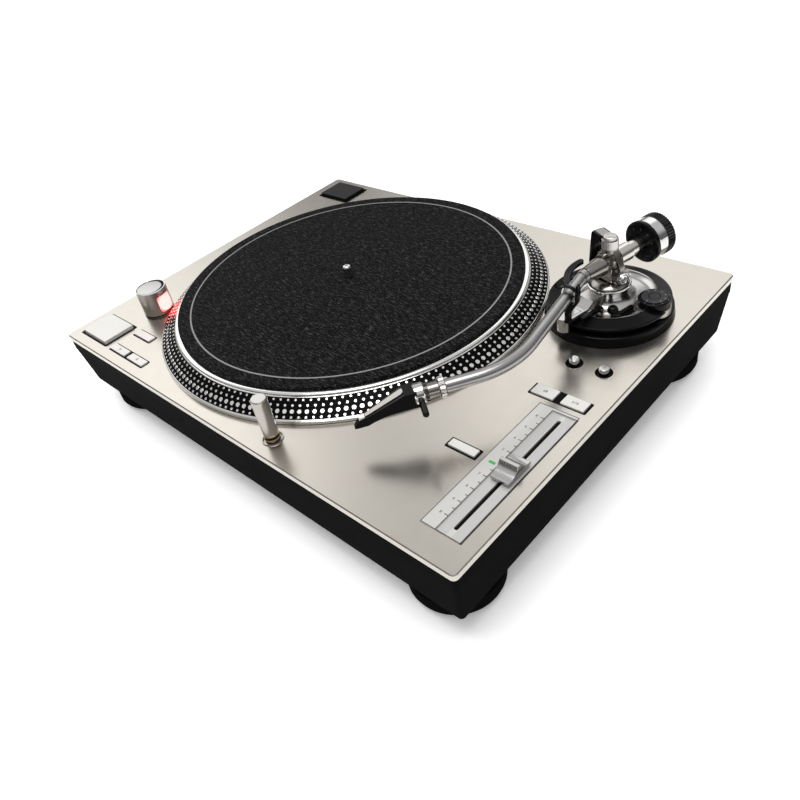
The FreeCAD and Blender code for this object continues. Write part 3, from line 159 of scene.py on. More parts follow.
@dataclass(frozen=True)
class Finish:
    """One material and how its surface was made.

    Attributes:
        name: The material's name.
        colour: The sRGB colour.
        roughness: The middle roughness.
        metallic: One for bare metal.
        pattern: The way that the fine marks run.
        grain: The size of the fine marks in millimetres.
        mottle: How far the colour varies.
        patches: How far the roughness varies.
        relief: The depth of the bump in millimetres.
        glow: The sRGB colour of the light that it gives off.
        glow_strength: The strength of that light.
        centre: Where a turned pattern's axis or a lamp stands, in metres.
        specular: How strongly a non-metal reflects.
    """

    name: str
    colour: str
    roughness: float
    metallic: float = 0.0
    pattern: Pattern = Pattern.GRAIN
    grain: float = 0.6
    mottle: float = 0.05
    patches: float = 0.02
    relief: float = 0.0
    glow: str = ""
    glow_strength: float = 0.0
    centre: Place = (0.0, 0.0, 0.0)
    specular: float = 0.5

    def material(self) -> bpy.types.Material:
        """Gives the material, made at its first use."""
        made = bpy.data.materials.get(self.name)
        if made is None:
            made = bpy.data.materials.new(self.name)
            made.use_nodes = True
            self._fill(made.node_tree)
        return made

    def _fill(self, tree: bpy.types.NodeTree) -> None:
        """Builds the node tree of the material.

        Args:
            tree: The material's node tree.
        """
        tree.nodes.clear()
        place = self._place(tree)
        look = self._felt(tree, place) if self.pattern is Pattern.FELT else self._marked(tree, place)
        if self.pattern is Pattern.LIT:
            look.update(self._light(tree, place))
        if not self.metallic:
            look["Specular IOR Level"] = self.specular
        look["Metallic"] = self.metallic
        shader = add(tree, "ShaderNodeBsdfPrincipled", None, look)
        add(tree, "ShaderNodeOutputMaterial", None, {"Surface": shader.outputs[0]})

    def _place(self, tree: bpy.types.NodeTree) -> bpy.types.NodeSocket:
        """Gives the coordinates that the fine marks follow.

        Args:
            tree: The material's node tree.

        Returns:
            The socket of the coordinates, in metres, stretched or turned as the pattern asks.
        """
        place = add(tree, "ShaderNodeTexCoord").outputs["Object"]
        if self.pattern is Pattern.BRUSHED:
            stretch = {"Vector": place, "Scale": (BRUSH_STRETCH, 1.0, 1.0)}
            return add(tree, "ShaderNodeMapping", None, stretch).outputs["Vector"]
        if self.pattern is Pattern.TURNED:
            low = {0: place, 1: self.centre}
            offset = add(tree, "ShaderNodeVectorMath", {"operation": "SUBTRACT"}, low).outputs[0]
            level = {0: offset, 1: (1, 1, 0)}
            flat = add(tree, "ShaderNodeVectorMath", {"operation": "MULTIPLY"}, level).outputs[0]
            reach = add(tree, "ShaderNodeVectorMath", {"operation": "LENGTH"}, {0: flat}).outputs["Value"]
            height = add(tree, "ShaderNodeSeparateXYZ", None, {0: offset}).outputs["Z"]
            return add(tree, "ShaderNodeCombineXYZ", None, {0: reach, 2: height}).outputs[0]
        return place

    def _marked(self, tree: bpy.types.NodeTree, place: bpy.types.NodeSocket) -> dict:
        """Gives a surface whose colour and relief follow its fine marks, and its roughness broad patches.

        Args:
            tree: The material's node tree.
            place: The coordinates that the marks follow.

        Returns:
            What the shader's sockets take.
        """
        marks = {"Vector": place, "Scale": 1 / (self.grain * MM), "Detail": 3.0, "Roughness": 0.6}
        noise = add(tree, "ShaderNodeTexNoise", None, marks).outputs["Fac"]
        shade = add(tree, "ShaderNodeMapRange", None, {0: noise, 1: MARK_SPAN[0], 2: MARK_SPAN[1]}).outputs[0]
        colours = {0: shade, 6: scaled(self.colour, 1 - self.mottle), 7: scaled(self.colour, 1 + self.mottle)}
        broad = {"Vector": place, "Scale": 1 / (self.grain * PATCH_SIZE * MM), "Detail": 2.0}
        cloud = add(tree, "ShaderNodeTexNoise", None, broad).outputs["Fac"]
        rough = {
            0: cloud, 1: PATCH_SPAN[0], 2: PATCH_SPAN[1],
            3: self.roughness - self.patches, 4: self.roughness + self.patches,
        }
        look = {
            "Base Color": add(tree, "ShaderNodeMix", {"data_type": "RGBA"}, colours).outputs[2],
            "Roughness": add(tree, "ShaderNodeMapRange", None, rough).outputs[0],
        }
        if self.relief:
            bump = {"Height": noise, "Strength": 0.6, "Distance": self.relief * MM}
            look["Normal"] = add(tree, "ShaderNodeBump", None, bump).outputs[0]
        return look

    def _light(self, tree: bpy.types.NodeTree, place: bpy.types.NodeSocket) -> dict:
        """Gives the glow of a material with a lamp behind it, palest next to the lamp.

        Args:
            tree: The material's node tree.
            place: The coordinates that the lamp's distance is measured in.

        Returns:
            What the shader's sockets take.
        """
        reach = {0: place, 1: self.centre}
        away = add(tree, "ShaderNodeVectorMath", {"operation": "DISTANCE"}, reach).outputs["Value"]
        fade = {0: away, 1: LAMP_SPAN[0] * MM, 2: LAMP_SPAN[1] * MM}
        spread = add(tree, "ShaderNodeMapRange", {"interpolation_type": "SMOOTHSTEP"}, fade).outputs[0]
        colours = {0: spread, 6: linear(LAMP_COLOUR), 7: linear(self.glow)}
        mixed = add(tree, "ShaderNodeMix", {"data_type": "RGBA"}, colours).outputs[2]
        return {"Emission Color": mixed, "Emission Strength": self.glow_strength}

    def _felt(self, tree: bpy.types.NodeTree, place: bpy.types.NodeSocket) -> dict:
        """Gives a dark felt, with pale loose fibres made brighter as painted sheen, and faint pale bands
        along X that are painted sheen.

        Args:
            tree: The material's node tree.
            place: The coordinates that the fibres follow.

        Returns:
            What the shader's sockets take.
        """
        slant = math.radians(FELT_TURN)
        turned = {"Vector": place, "Rotation": (0, 0, slant), "Scale": (FELT_STRETCH, 1.0, 1.0)}
        along = add(tree, "ShaderNodeMapping", None, turned).outputs["Vector"]
        layers = []
        # The noise's peaks give pale specks where a fibre stands up, partly painted sheen, then pale streaks
        # along X that are painted sheen where brushing laid fibres down.
        for where, rough, low, high, most in ((place, 0.7, 0.55, 0.72, 0.8), (along, 0.6, 0.54, 0.72, 0.6)):
            fibres = {"Vector": where, "Scale": 1 / (self.grain * MM), "Detail": 2.0, "Roughness": rough}
            noise = add(tree, "ShaderNodeTexNoise", None, fibres).outputs["Fac"]
            peaks = {0: noise, 1: low, 2: high, 3: 0.0, 4: most}
            layers.append(add(tree, "ShaderNodeMapRange", None, peaks).outputs[0])
        both = {0: layers[0], 1: layers[1]}
        amount = add(tree, "ShaderNodeMath", {"operation": "ADD", "use_clamp": True}, both).outputs[0]
        colours = {0: amount, 6: linear(self.colour), 7: linear(FIBRE_AND_SHEEN_COLOUR)}
        bump = {"Height": amount, "Strength": 0.5, "Distance": self.relief * MM}
        return {
            "Base Color": add(tree, "ShaderNodeMix", {"data_type": "RGBA"}, colours).outputs[2],
            "Roughness": self.roughness,
            "Normal": add(tree, "ShaderNodeBump", None, bump).outputs[0],
        }


class Finishes:
    """The finishes of the turntable, each named for its material and the way that it was made.

    The real marks of blasting, brushing and moulding are under 0.1 mm, too fine to show in a picture of the
    whole deck. So each grain here is drawn as coarse as it needs to show, 0.25 to 1.2 mm.
    """

    # Sheet aluminium, blasted and anodised champagne: satin, so that it mirrors the room as soft patches.
    PLATE = Finish("anodised_champagne_aluminium", "C3BEB5", 0.26, 1.0, grain=0.5, mottle=0.02, patches=0.012)
    # The plate's thin frame below: ABS sprayed satin black, which reads as one dark line.
    BAND = Finish("sprayed_black_abs", "131313", 0.42, grain=0.5, specular=0.002)
    # Heavy filled rubber and resin, moulded in a spark-eroded tool: a fine dull grain.
    BASE = Finish("moulded_black_resin", "141414", 0.55, grain=0.7, mottle=0.14, relief=0.04, specular=0.002)
    # The same grain on softer rubber, which gives back even less light.
    FOOT = Finish("moulded_black_rubber", "121212", 0.6, mottle=0.12, relief=0.04, specular=0.001)
    # Cast aluminium, turned and polished: bright, with lathe rings about the spindle.
    PLATTER = Finish(
        "turned_cast_aluminium", "E2E1DE", 0.17, 1.0, Pattern.TURNED, 0.35, 0.04, 0.03,
        centre=(-0.031, 0.0045, 0),
    )
    # Black enamel sprayed between the platter's bright edges: dark, with a faint gloss.
    ENAMEL = Finish("sprayed_black_enamel", "080809", 0.3, grain=0.5, mottle=0.1, specular=0.03)
    # The strobe dots: tops of the casting, faced bright.
    DOT = Finish("faced_aluminium", "E2E1DE", 0.24, 0.9, grain=0.3, mottle=0.03)
    # Pressed wool felt, dyed charcoal: no gloss, with pale fibres standing proud and pale streaks, both
    # brightened as painted sheen. A real fibre is 0.03 mm wide, and these are drawn as 1 mm so that they
    # show.
    MAT = Finish(
        "pressed_charcoal_felt", "060607", 0.6, pattern=Pattern.FELT, grain=1.0, relief=0.12, specular=0.03,
    )
    # Grey ink sunk into the felt: flat, and broken up by the fibres.
    PRINT = Finish("printed_grey_ink", "8C8B89", 0.8, mottle=0.2, specular=0.2)
    # Brass and steel, polished and chromed: a near mirror.
    CHROME = Finish("polished_chrome", "D6D5D4", 0.1, 1.0, grain=1.2, mottle=0.02, patches=0.03)
    # Steel, polished and nickel plated: warmer and softer than chrome.
    DARK_CHROME = Finish("polished_nickel", "CFCAC5", 0.2, 1.0, grain=0.8, mottle=0.03, patches=0.03)
    # Polished chrome, its colour darkened as painted shade for the darker reflections on the arm's cone,
    # collars, yoke top and arch: it drinks half of the room's light.
    SMOKED_CHROME = Finish("chrome_with_painted_shade", "8F8B87", 0.18, 1.0, grain=0.8, mottle=0.04, patches=0.03)
    # Steel knobs, knurled and then blasted, so that they mirror nothing sharply.
    KNURLED = Finish("knurled_blasted_steel", "D2D0CD", 0.42, 1.0, grain=0.5)
    # The motor's steel: ground, with fine straight scratches.
    STEEL = Finish("ground_steel", "A9A7A4", 0.32, 1.0, Pattern.BRUSHED, 0.3, 0.08, relief=0.01)
    # The dish under the arm: cast aluminium, polished and lacquered, softer than chrome.
    DISH = Finish("lacquered_cast_aluminium", "BDBBB9", 0.23, 1.0, mottle=0.03, patches=0.03)
    # Drawn aluminium tube, blasted and clear anodised: an even grey satin.
    TUBE = Finish("anodised_drawn_aluminium", "A09F9E", 0.3, 1.0, grain=0.3, mottle=0.04)
    # Turned and anodised aluminium of the tower and the pillar: satin, a little warmer than the tube.
    SATIN = Finish("satin_anodised_aluminium", "ADA8A2", 0.3, 1.0, grain=0.25)
    # The power dial's top: aluminium, spun with fine rings and anodised pale grey.
    DIAL_TOP = Finish(
        "spun_pale_aluminium", "BDBCBB", 0.34, 1.0, Pattern.TURNED, 0.3, 0.03, centre=(-0.1773, -0.1022, 0.0)
    )
    # Zinc castings painted semi-gloss black: the light slides along their edges.
    ARM_BLACK = Finish("enamelled_zinc", "09090A", 0.22, grain=0.7, mottle=0.08, specular=0.13)
    # ABS from a polished mould: black, with clear highlights.
    GLOSS_BLACK = Finish("moulded_gloss_abs", "08080A", 0.2, grain=0.8, specular=0.16)
    # ABS from a blasted mould: black with no highlight, in bezels, wells and grooves.
    MATT_BLACK = Finish("moulded_matt_abs", "0C0C0D", 0.5, grain=0.4, mottle=0.1, specular=0.05)
    # Grey ABS from a blasted mould: the dial's face, a shade lighter than its rim.
    DIAL_GREY = Finish("moulded_grey_abs", "3A3A3C", 0.45, grain=0.4, mottle=0.08, specular=0.25)
    # Key tops: polycarbonate sprayed silver-white, pale and smooth.
    KEY = Finish("sprayed_white_polycarbonate", "DEDCD8", 0.35, grain=0.3, mottle=0.02)
    # The rear key: its top, nearly black with a soft gloss, is a painted reflection of the dark that a
    # mirror-polished key top shows.
    KEY_SIDE = Finish("key_top_painted_dark_reflection", "141415", 0.4, grain=0.4, specular=0.2)
    # Sheet steel painted silver-white: flakes in the paint give a soft metal gloss.
    PANEL = Finish("painted_white_steel", "CAC9C6", 0.3, 0.25, Pattern.BRUSHED, 0.25, 0.02)
    # The same paint, a shade greyer, beside the fader's slot.
    CHANNEL = Finish("painted_pale_grey_steel", "BEBDBB", 0.32, 0.3, Pattern.BRUSHED, 0.25, 0.02)
    # Screen-printed inks, flat and thin: black on pale metal, white on the dial, worn grey on the force dial.
    # The black ink also serves as painted shade in the bracket's scribed grooves.
    INK = Finish("printed_black_ink_and_groove_shade", "151515", 0.5, grain=0.5)
    PALE_INK = Finish("printed_white_ink", "C9C8C4", 0.5, grain=0.5)
    FAINT_INK = Finish("worn_grey_ink", "4A4B50", 0.6, specular=0.1)
    # Red acrylic with lamps behind it: nearly white in the middle, deep red at its rim.
    WINDOW = Finish(
        "lit_red_acrylic", "FF5A4E", 0.2, pattern=Pattern.LIT, glow="FF2A22", glow_strength=1.15,
        centre=(-0.1646, -0.0988, 0.0895),
    )
    # Green epoxy over a small lamp: an even, weak glow.
    LED = Finish("lit_green_epoxy", "2FA04A", 0.3, pattern=Pattern.LIT, glow="1E8A38", glow_strength=0.35)
    # Turned brass, lacquered: two warm lines round the pillar.
    BRASS = Finish("lacquered_brass", "C9A765", 0.22, 1.0, grain=0.4)
    # Glass laminate under a green solder mask: uneven where the tracks run.
    BOARD = Finish("solder_masked_laminate", "1F5A33", 0.4, grain=0.8, mottle=0.15, relief=0.02)
    # Nickel on the brass of the sockets: pale and slightly warm.
    NICKEL = Finish("nickel_plated_brass", "CFC9BE", 0.2, 1.0, grain=0.5, mottle=0.04)
    # White acetal of the stylus grip: smooth and waxy.
    STYLUS = Finish("moulded_white_acetal", "E8E6E0", 0.35, grain=0.5, mottle=0.02)


# The CAD nodes that each finish dresses. Those that a piece stands for are dressed too, though hidden.
NODE_FINISHES: dict[Finish, tuple[str, ...]] = {
    Finishes.PLATE: ("top_plate",),
    Finishes.BAND: ("upper_frame",),
    Finishes.BASE: ("base_shell", "bottom_cover", "terminal_panel"),
    Finishes.FOOT: ("foot_front_left", "foot_front_right", "foot_rear_left", "foot_rear_right"),
    Finishes.PLATTER: ("platter",),
    Finishes.STEEL: ("rotor", "motor_stator"),
    Finishes.CHROME: ("spindle", "torque_knob", "brake_knob", "bearing_cap", "gimbal_arch", "counterweight"),
    Finishes.DARK_CHROME: ("arm_barrel",),
    Finishes.DISH: ("arm_dish", "pivot_cup", "rest_bracket"),
    # Chrome darkened as painted shade for the darker reflections of the socket, the collar and the gimbal
    # housing.
    Finishes.SMOKED_CHROME: ("arm_socket", "locking_collar", "gimbal_housing"),
    Finishes.TUBE: ("arm_tube",),
    Finishes.SATIN: (
        "strobe_tower", "power_dial", "target_light", "light_socket", "pitch_fader", "antiskate_skirt",
    ),
    Finishes.ARM_BLACK: (
        "height_ring", "arm_saucer", "gimbal_yoke", "cue_lever", "cue_lift",
        "arm_rest", "rest_clip", "force_dial", "antiskate_dial", "weight_bushing", "arm_mount_sleeve",
    ),
    Finishes.GLOSS_BLACK: ("cartridge", "lock_lever"),
    Finishes.MATT_BLACK: ("stop_bezels", "small_bezels"),
    Finishes.KEY: (
        "start_button_front", "speed_button_33", "speed_button_45", "reverse_button",
        "reset_button", "range_button_left", "range_button_right",
    ),
    # The rear key's near-black colour is a painted reflection.
    Finishes.KEY_SIDE: ("start_button_rear",),
    Finishes.PANEL: ("fader_panel",),
    Finishes.BOARD: ("control_board",),
    Finishes.WINDOW: ("strobe_window",),
    Finishes.NICKEL: ("rear_sockets",),
}


def spin(angle: float, axis: str = "Z") -> Matrix:
    """Gives a turn by degrees about an axis."""
    return Matrix.Rotation(math.radians(angle), 4, axis)


def spot(x: float, y: float, z: float = PLATE_TOP, turn: float = 0.0, dip: float = 0.0) -> Matrix:
    """Gives a frame of the CAD model, or a place within another frame, in millimetres.

    Args:
        x: Where its origin lies, to the right.
        y: Where its origin lies, to the rear.
        z: The height of its origin above the floor, or above the other frame.
        turn: Its turn about Z in degrees.
        dip: How far its X axis points below the horizon in degrees.

    Returns:
        The matrix from the frame to the row frame, or to the other frame.
    """
    return Matrix.Translation((x, y, z)) @ spin(turn) @ spin(dip, "Y")


def about(angle: float, reach: float = 0.0, height: float = 0.0) -> Matrix:
    """Gives a matrix that turns about Z by degrees, then steps out and up."""
    return spin(angle) @ Matrix.Translation((reach, 0, height))


# The deck's middle, the platter's axis and the strobe tower.
DECK = spot(0, 0)
PLATTER = spot(-31, 4.5)
TOWER = spot(-177.3, -102.2, turn=15)
# The tonearm's upright axis, and the way that the arm points at rest.
PIVOT = (168, 84)
ARM_TURN = -105
# The tonearm's base, with its anti-skate dial and its rest, and the yoke that stands on it.
CARRIAGE = spot(*PIVOT, turn=-102.4)
DIAL = CARRIAGE @ spot(-11.6, 31.7, 0)
REST = CARRIAGE @ spot(49, 7.2, 0, 20)
YOKE = spot(*PIVOT, turn=-208.4)
# What turns with the arm: the gimbal, the arm itself with X along its barrel, and the head at its end.
GIMBAL = spot(*PIVOT, turn=ARM_TURN)
ARM = spot(*PIVOT, PLATE_TOP + 43, ARM_TURN, 2.86)
HEAD = ARM @ spot(221.8, 0, 0, -22)
# Lays a turned piece along X.
LYING = spin(90, "Y")
# Each turns an outline drawn on a wall, and pushed upward, to the wall that faces along X or against Y.
FACING_X = Matrix(((0, 0, 1, 0), (1, 0, 0, 0), (0, 1, 0, 0), (0, 0, 0, 1)))
FACING_Y = Matrix(((1, 0, 0, 0), (0, 0, -1, 0), (0, 1, 0, 0), (0, 0, 0, 1)))


@dataclass
class Maker:
    """Collects the faces of one piece and makes its object.

    Attributes:
        name: The piece's name.
        place: The frame that it is drawn in.
        corners: The corners so far, in metres of the row frame.
        faces: The faces so far, as numbers of corners.
    """

    name: str
    place: Matrix
    corners: list[Vector] = field(default_factory=list)
    faces: list[tuple[int, ...]] = field(default_factory=list)

    def take(
        self, corners: Iterable[Sequence[float]], faces: Iterable[Sequence[int]], where: Matrix | None = None,
    ) -> None:
        """Adds corners and the faces between them.

        Args:
            corners: The corners, in millimetres of the maker's frame.
            faces: The faces, as numbers of these corners.
            where: How the corners are moved in the frame.
        """
        first = len(self.corners)
        matrix = self.place @ where if where else self.place
        self.corners.extend(matrix @ Vector(corner) * MM for corner in corners)
        self.faces.extend(tuple(first + number for number in face) for face in faces)

    def turn(
        self, profile: Sequence[Point], steps: int = 96, where: Matrix | None = None, teeth: float = 0.0,
    ) -> None:
        """Adds a closed section turned about Z.

        Args:
            profile: Radius and height of each point of the section.
            steps: The number of steps of the turn.
            where: How the result is moved in the frame.
            teeth: How far every other step is cut in, for a knurl.
        """
        count = len(profile)
        corners = []
        for step in range(steps):
            angle = 2 * math.pi * step / steps
            cut = teeth if step % 2 else 0.0
            corners.extend(((r - cut) * math.cos(angle), (r - cut) * math.sin(angle), z) for r, z in profile)
        faces = []
        for step in range(steps):
            here, there = step * count, (step + 1) % steps * count
            for index in range(count):
                after = (index + 1) % count
                faces.append((here + index, there + index, there + after, here + after))
        self.take(corners, faces, where)

    def push(self, outline: Sequence[Point], low: float, high: float, where: Matrix | None = None) -> None:
        """Adds an outline pushed up from one height to another.

        Args:
            outline: The outline's points.
            low: The lower height.
            high: The upper height.
            where: How the result is moved in the frame.
        """
        count = len(outline)
        corners = [(x, y, z) for z in (low, high) for x, y in outline]
        faces: list[Sequence[int]] = [tuple(reversed(range(count))), tuple(range(count, 2 * count))]
        for index in range(count):
            after = (index + 1) % count
            faces.append((index, after, count + after, count + index))
        self.take(corners, faces, where)

    def slab(
        self, x: float, y: float, width: float, depth: float, low: float, high: float,
        where: Matrix | None = None,
    ) -> None:
        """Adds a slab about a place.

        Args:
            x: Where its middle lies along X.
            y: Where its middle lies along Y.
            width: Its size along X.
            depth: Its size along Y.
            low: The height of its underside.
            high: The height of its top.
            where: How the result is moved in the frame.
        """
        half, deep = width / 2, depth / 2
        outline = [(x - half, y - deep), (x + half, y - deep), (x + half, y + deep), (x - half, y + deep)]
        self.push(outline, low, high, where)

    def outline(
        self, x: float, y: float, width: float, depth: float, line: float, low: float, high: float,
    ) -> None:
        """Adds a thin rectangular line round a place.

        Args:
            x: Where its middle lies along X.
            y: Where its middle lies along Y.
            width: Its size along X.
            depth: Its size along Y.
            line: The width of the line.
            low: The height of its underside.
            high: The height of its top.
        """
        across, along = (width - line) / 2, (depth - line) / 2
        self.slab(x, y - along, width, line, low, high)
        self.slab(x, y + along, width, line, low, high)
        self.slab(x - across, y, line, depth - 2 * line, low, high)
        self.slab(x + across, y, line, depth - 2 * line, low, high)

    def write(self, text: str, size: float, where: Matrix, depth: float = 0.05) -> None:
        """Adds raised characters, centred on a place and facing along its Z.

        Args:
            text: The characters.
            size: Their size.
            where: The place.
            depth: How far they stand up.
        """
        curve = bpy.data.curves.new(f"{self.name}_text", "FONT")
        curve.body, curve.size, curve.extrude = text, size, depth
        curve.align_x, curve.align_y, curve.resolution_u = "CENTER", "CENTER", 3
        writing = bpy.data.objects.new(curve.name, curve)
        bpy.context.scene.collection.objects.link(writing)
        bpy.context.view_layer.update()
        shown = writing.evaluated_get(bpy.context.evaluated_depsgraph_get())
        mesh = bpy.data.meshes.new_from_object(shown)
        corners = [vertex.co for vertex in mesh.vertices]
        self.take(corners, [tuple(face.vertices) for face in mesh.polygons], where)
        bpy.data.objects.remove(writing)
        bpy.data.meshes.remove(mesh)

    def done(
        self, finish: Finish, body: str, smooth: float = 35.0, bevel: float = 0.0,
    ) -> bpy.types.Object:
        """Makes the object, and lets it ride on a body.

        Args:
            finish: Its finish.
            body: The CAD body that it moves with.
            smooth: The angle in degrees beyond which an edge stays sharp.
            bevel: How far its edges are rounded, in millimetres.

        Returns:
            The new piece.
        """
        mesh = bpy.data.meshes.new(self.name)
        mesh.from_pydata(self.corners, [], self.faces)
        mesh.update()
        mesh.polygons.foreach_set("use_smooth", [True] * len(mesh.polygons))
        mesh.set_sharp_from_angle(angle=math.radians(smooth))
        mesh.materials.append(finish.material())
        piece = bpy.data.objects.new(self.name, mesh)
        bpy.context.scene.collection.objects.link(piece)
        if bevel:
            rounding = piece.modifiers.new("rounding", "BEVEL")
            rounding.width, rounding.segments, rounding.harden_normals = bevel * MM, 3, True
        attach(piece, body)
        LOG.info("made %s, with %d faces", self.name, len(mesh.polygons))
        return piece


def round_ring(inner: float, outer: float, low: float, high: float) -> list[Point]:
    """Gives the section of a flat ring, from its two radii and its two heights."""
    return [(inner, low), (outer, low), (outer, high), (inner, high)]


def bow(x: float, y: float, radius: float, first: float, last: float, steps: int = 12) -> list[Point]:
    """Gives points along an arc, from one angle in degrees to another."""
    angles = [math.radians(first + (last - first) * step / steps) for step in range(steps + 1)]
    return [(x + radius * math.cos(angle), y + radius * math.sin(angle)) for angle in angles]


@dataclass
class Platter:
    """The platter's bright rims, its enamelled band with the strobe dots, and the felt mat.

    Attributes:
        top: The radius and height of the bevel's upper end.
        bottom: The radius and height of its lower end.
        upper_rim: The section of the rim between the mat and the bevel.
        lower_rim: The section of the rim under the bevel, counted from the bevel's lower end.
        enamel: How far down the bevel the enamel starts and ends, as shares of it.
        enamel_depth: How deep the enamel is sunk, and how far it stands proud.
        rows: Each row of dots: its share of the way down, a dot's radius and their number.
        dot_rise: How far a dot stands up from the enamel.
        dot_face: The share of a dot's radius that is flat.
        dot_sides: How many sides a dot has.
        mat_radius: The mat's radius.
        mat_low: The height of its underside.
        mat_top: The height of its top.
        mat_round: How far in from its edge the top is flat.
        mat_rings: How many rings the top has, so that its faces stay small.
        hole: The radius of its hole.
        print_radius: The radius of the ring printed on it.
        print_half: Half of that ring's width.
    """

    top: Point = (151.6, 13.4)
    bottom: Point = (165.9, 3.4)
    upper_rim: Section = (
        (147.9, 15.3), (151.3, 13.2), (151.72, 13.5), (151.4, 14.5), (150.8, 15.2), (149.9, 15.58),
        (149.0, 15.68), (147.9, 15.68),
    )
    lower_rim: Section = ((-0.7, -0.4), (0.1, -0.45), (0.25, 0.02), (-0.25, 0.42), (-0.7, 0.6))
    enamel: Point = (0.03, 0.975)
    enamel_depth: Point = (-0.2, 0.1)
    rows: tuple[tuple[float, float, int], ...] = (
        (0.13, 0.95, 170), (0.36, 1.05, 174), (0.61, 1.7, 180), (0.85, 1.05, 186)
    )
    dot_rise: float = 0.2
    dot_face: float = 0.88
    dot_sides: int = 12
    mat_radius: float = 147.7
    mat_low: float = 15.65
    mat_top: float = 18.1
    mat_round: float = 0.5
    mat_rings: int = 24
    hole: float = 4.0
    print_radius: float = 136.5
    print_half: float = 0.65

    def slant(self, share: float, lift: float) -> Point:
        """Gives a point on the bevelled edge, lifted off it.

        Args:
            share: How far down the bevel it lies, from 0 to 1.
            lift: How far it stands off the bevel.

        Returns:
            The point's radius and height.
        """
        run = Vector(self.bottom) - Vector(self.top)
        out = Vector((-run.y, run.x)).normalized()
        spot_on = Vector(self.top) + run * share + out * lift
        return spot_on.x, spot_on.y

    def band(self) -> None:
        """Makes the black enamel between the two bright edges."""
        maker = Maker("platter_enamel", PLATTER)
        (first, last), (sunk, proud) = self.enamel, self.enamel_depth
        corners = ((first, sunk), (last, sunk), (last, proud), (first, proud))
        maker.turn([self.slant(share, lift) for share, lift in corners], 360)
        maker.done(Finishes.ENAMEL, "platter_assembly")

    def rim(self) -> None:
        """Makes the polished rim between the mat and the bevel, and the one below the bevel."""
        maker = Maker("platter_rims", PLATTER)
        maker.turn(self.upper_rim, ROUND)
        reach, height = self.bottom
        maker.turn([(reach + out, height + up) for out, up in self.lower_rim], ROUND)
        maker.done(Finishes.PLATTER, "platter_assembly", 60.0)

    def dots(self) -> None:
        """Makes the four rows of strobe dots, each a flat disc with a softened edge."""
        maker = Maker("strobe_dots", PLATTER)
        lean = Matrix.Rotation(math.atan2(self.top[1] - self.bottom[1], self.bottom[0] - self.top[0]), 4, "Y")
        sides = self.dot_sides
        faces: list[tuple[int, ...]] = []
        for side in range(sides):
            after = (side + 1) % sides
            faces.append((0, 1 + side, 1 + after))
            faces.append((1 + side, 1 + sides + side, 1 + sides + after, 1 + after))
        faces.append(tuple(reversed(range(1 + sides, 1 + 2 * sides))))
        for share, radius, count in self.rows:
            reach, height = self.slant(share, self.enamel_depth[1])
            corners = [(0.0, 0.0, self.dot_rise)]
            for ring, rise in ((self.dot_face, self.dot_rise), (1.0, 0.0)):
                for side in range(sides):
                    angle = 2 * math.pi * side / sides
                    corners.append((radius * ring * math.cos(angle), radius * ring * math.sin(angle), rise))
            for number in range(count):
                maker.take(corners, faces, about(360 * number / count, reach, height) @ lean)
        maker.done(Finishes.DOT, "platter_assembly")

    def mat(self) -> None:
        """Makes the felt mat and the ring printed on it."""
        maker = Maker("felt_mat", PLATTER)
        edge, low, high, soft = self.mat_radius, self.mat_low, self.mat_top, self.mat_round
        flat = edge - soft
        rings = [self.hole + (flat - self.hole) * step / self.mat_rings for step in range(self.mat_rings + 1)]
        top = [(r, high) for r in reversed(rings)]
        side = [(self.hole, low), (edge, low), (edge, high - soft), (edge - 0.15, high - 0.15)]
        maker.turn([*side, *top], 256)
        felt = maker.done(Finishes.MAT, "platter_assembly")
        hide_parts("slipmat")
        ring = Maker("felt_mat_print", PLATTER)
        inner, outer = self.print_radius - self.print_half, self.print_radius + self.print_half
        ring.turn(round_ring(inner, outer, high + INK_LOW, high + INK_HIGH), 256)
        printed = ring.done(Finishes.PRINT, "platter_assembly")

    def build(self) -> None:
        """Makes all the platter's pieces."""
        self.band()
        self.rim()
        self.dots()
        self.mat()


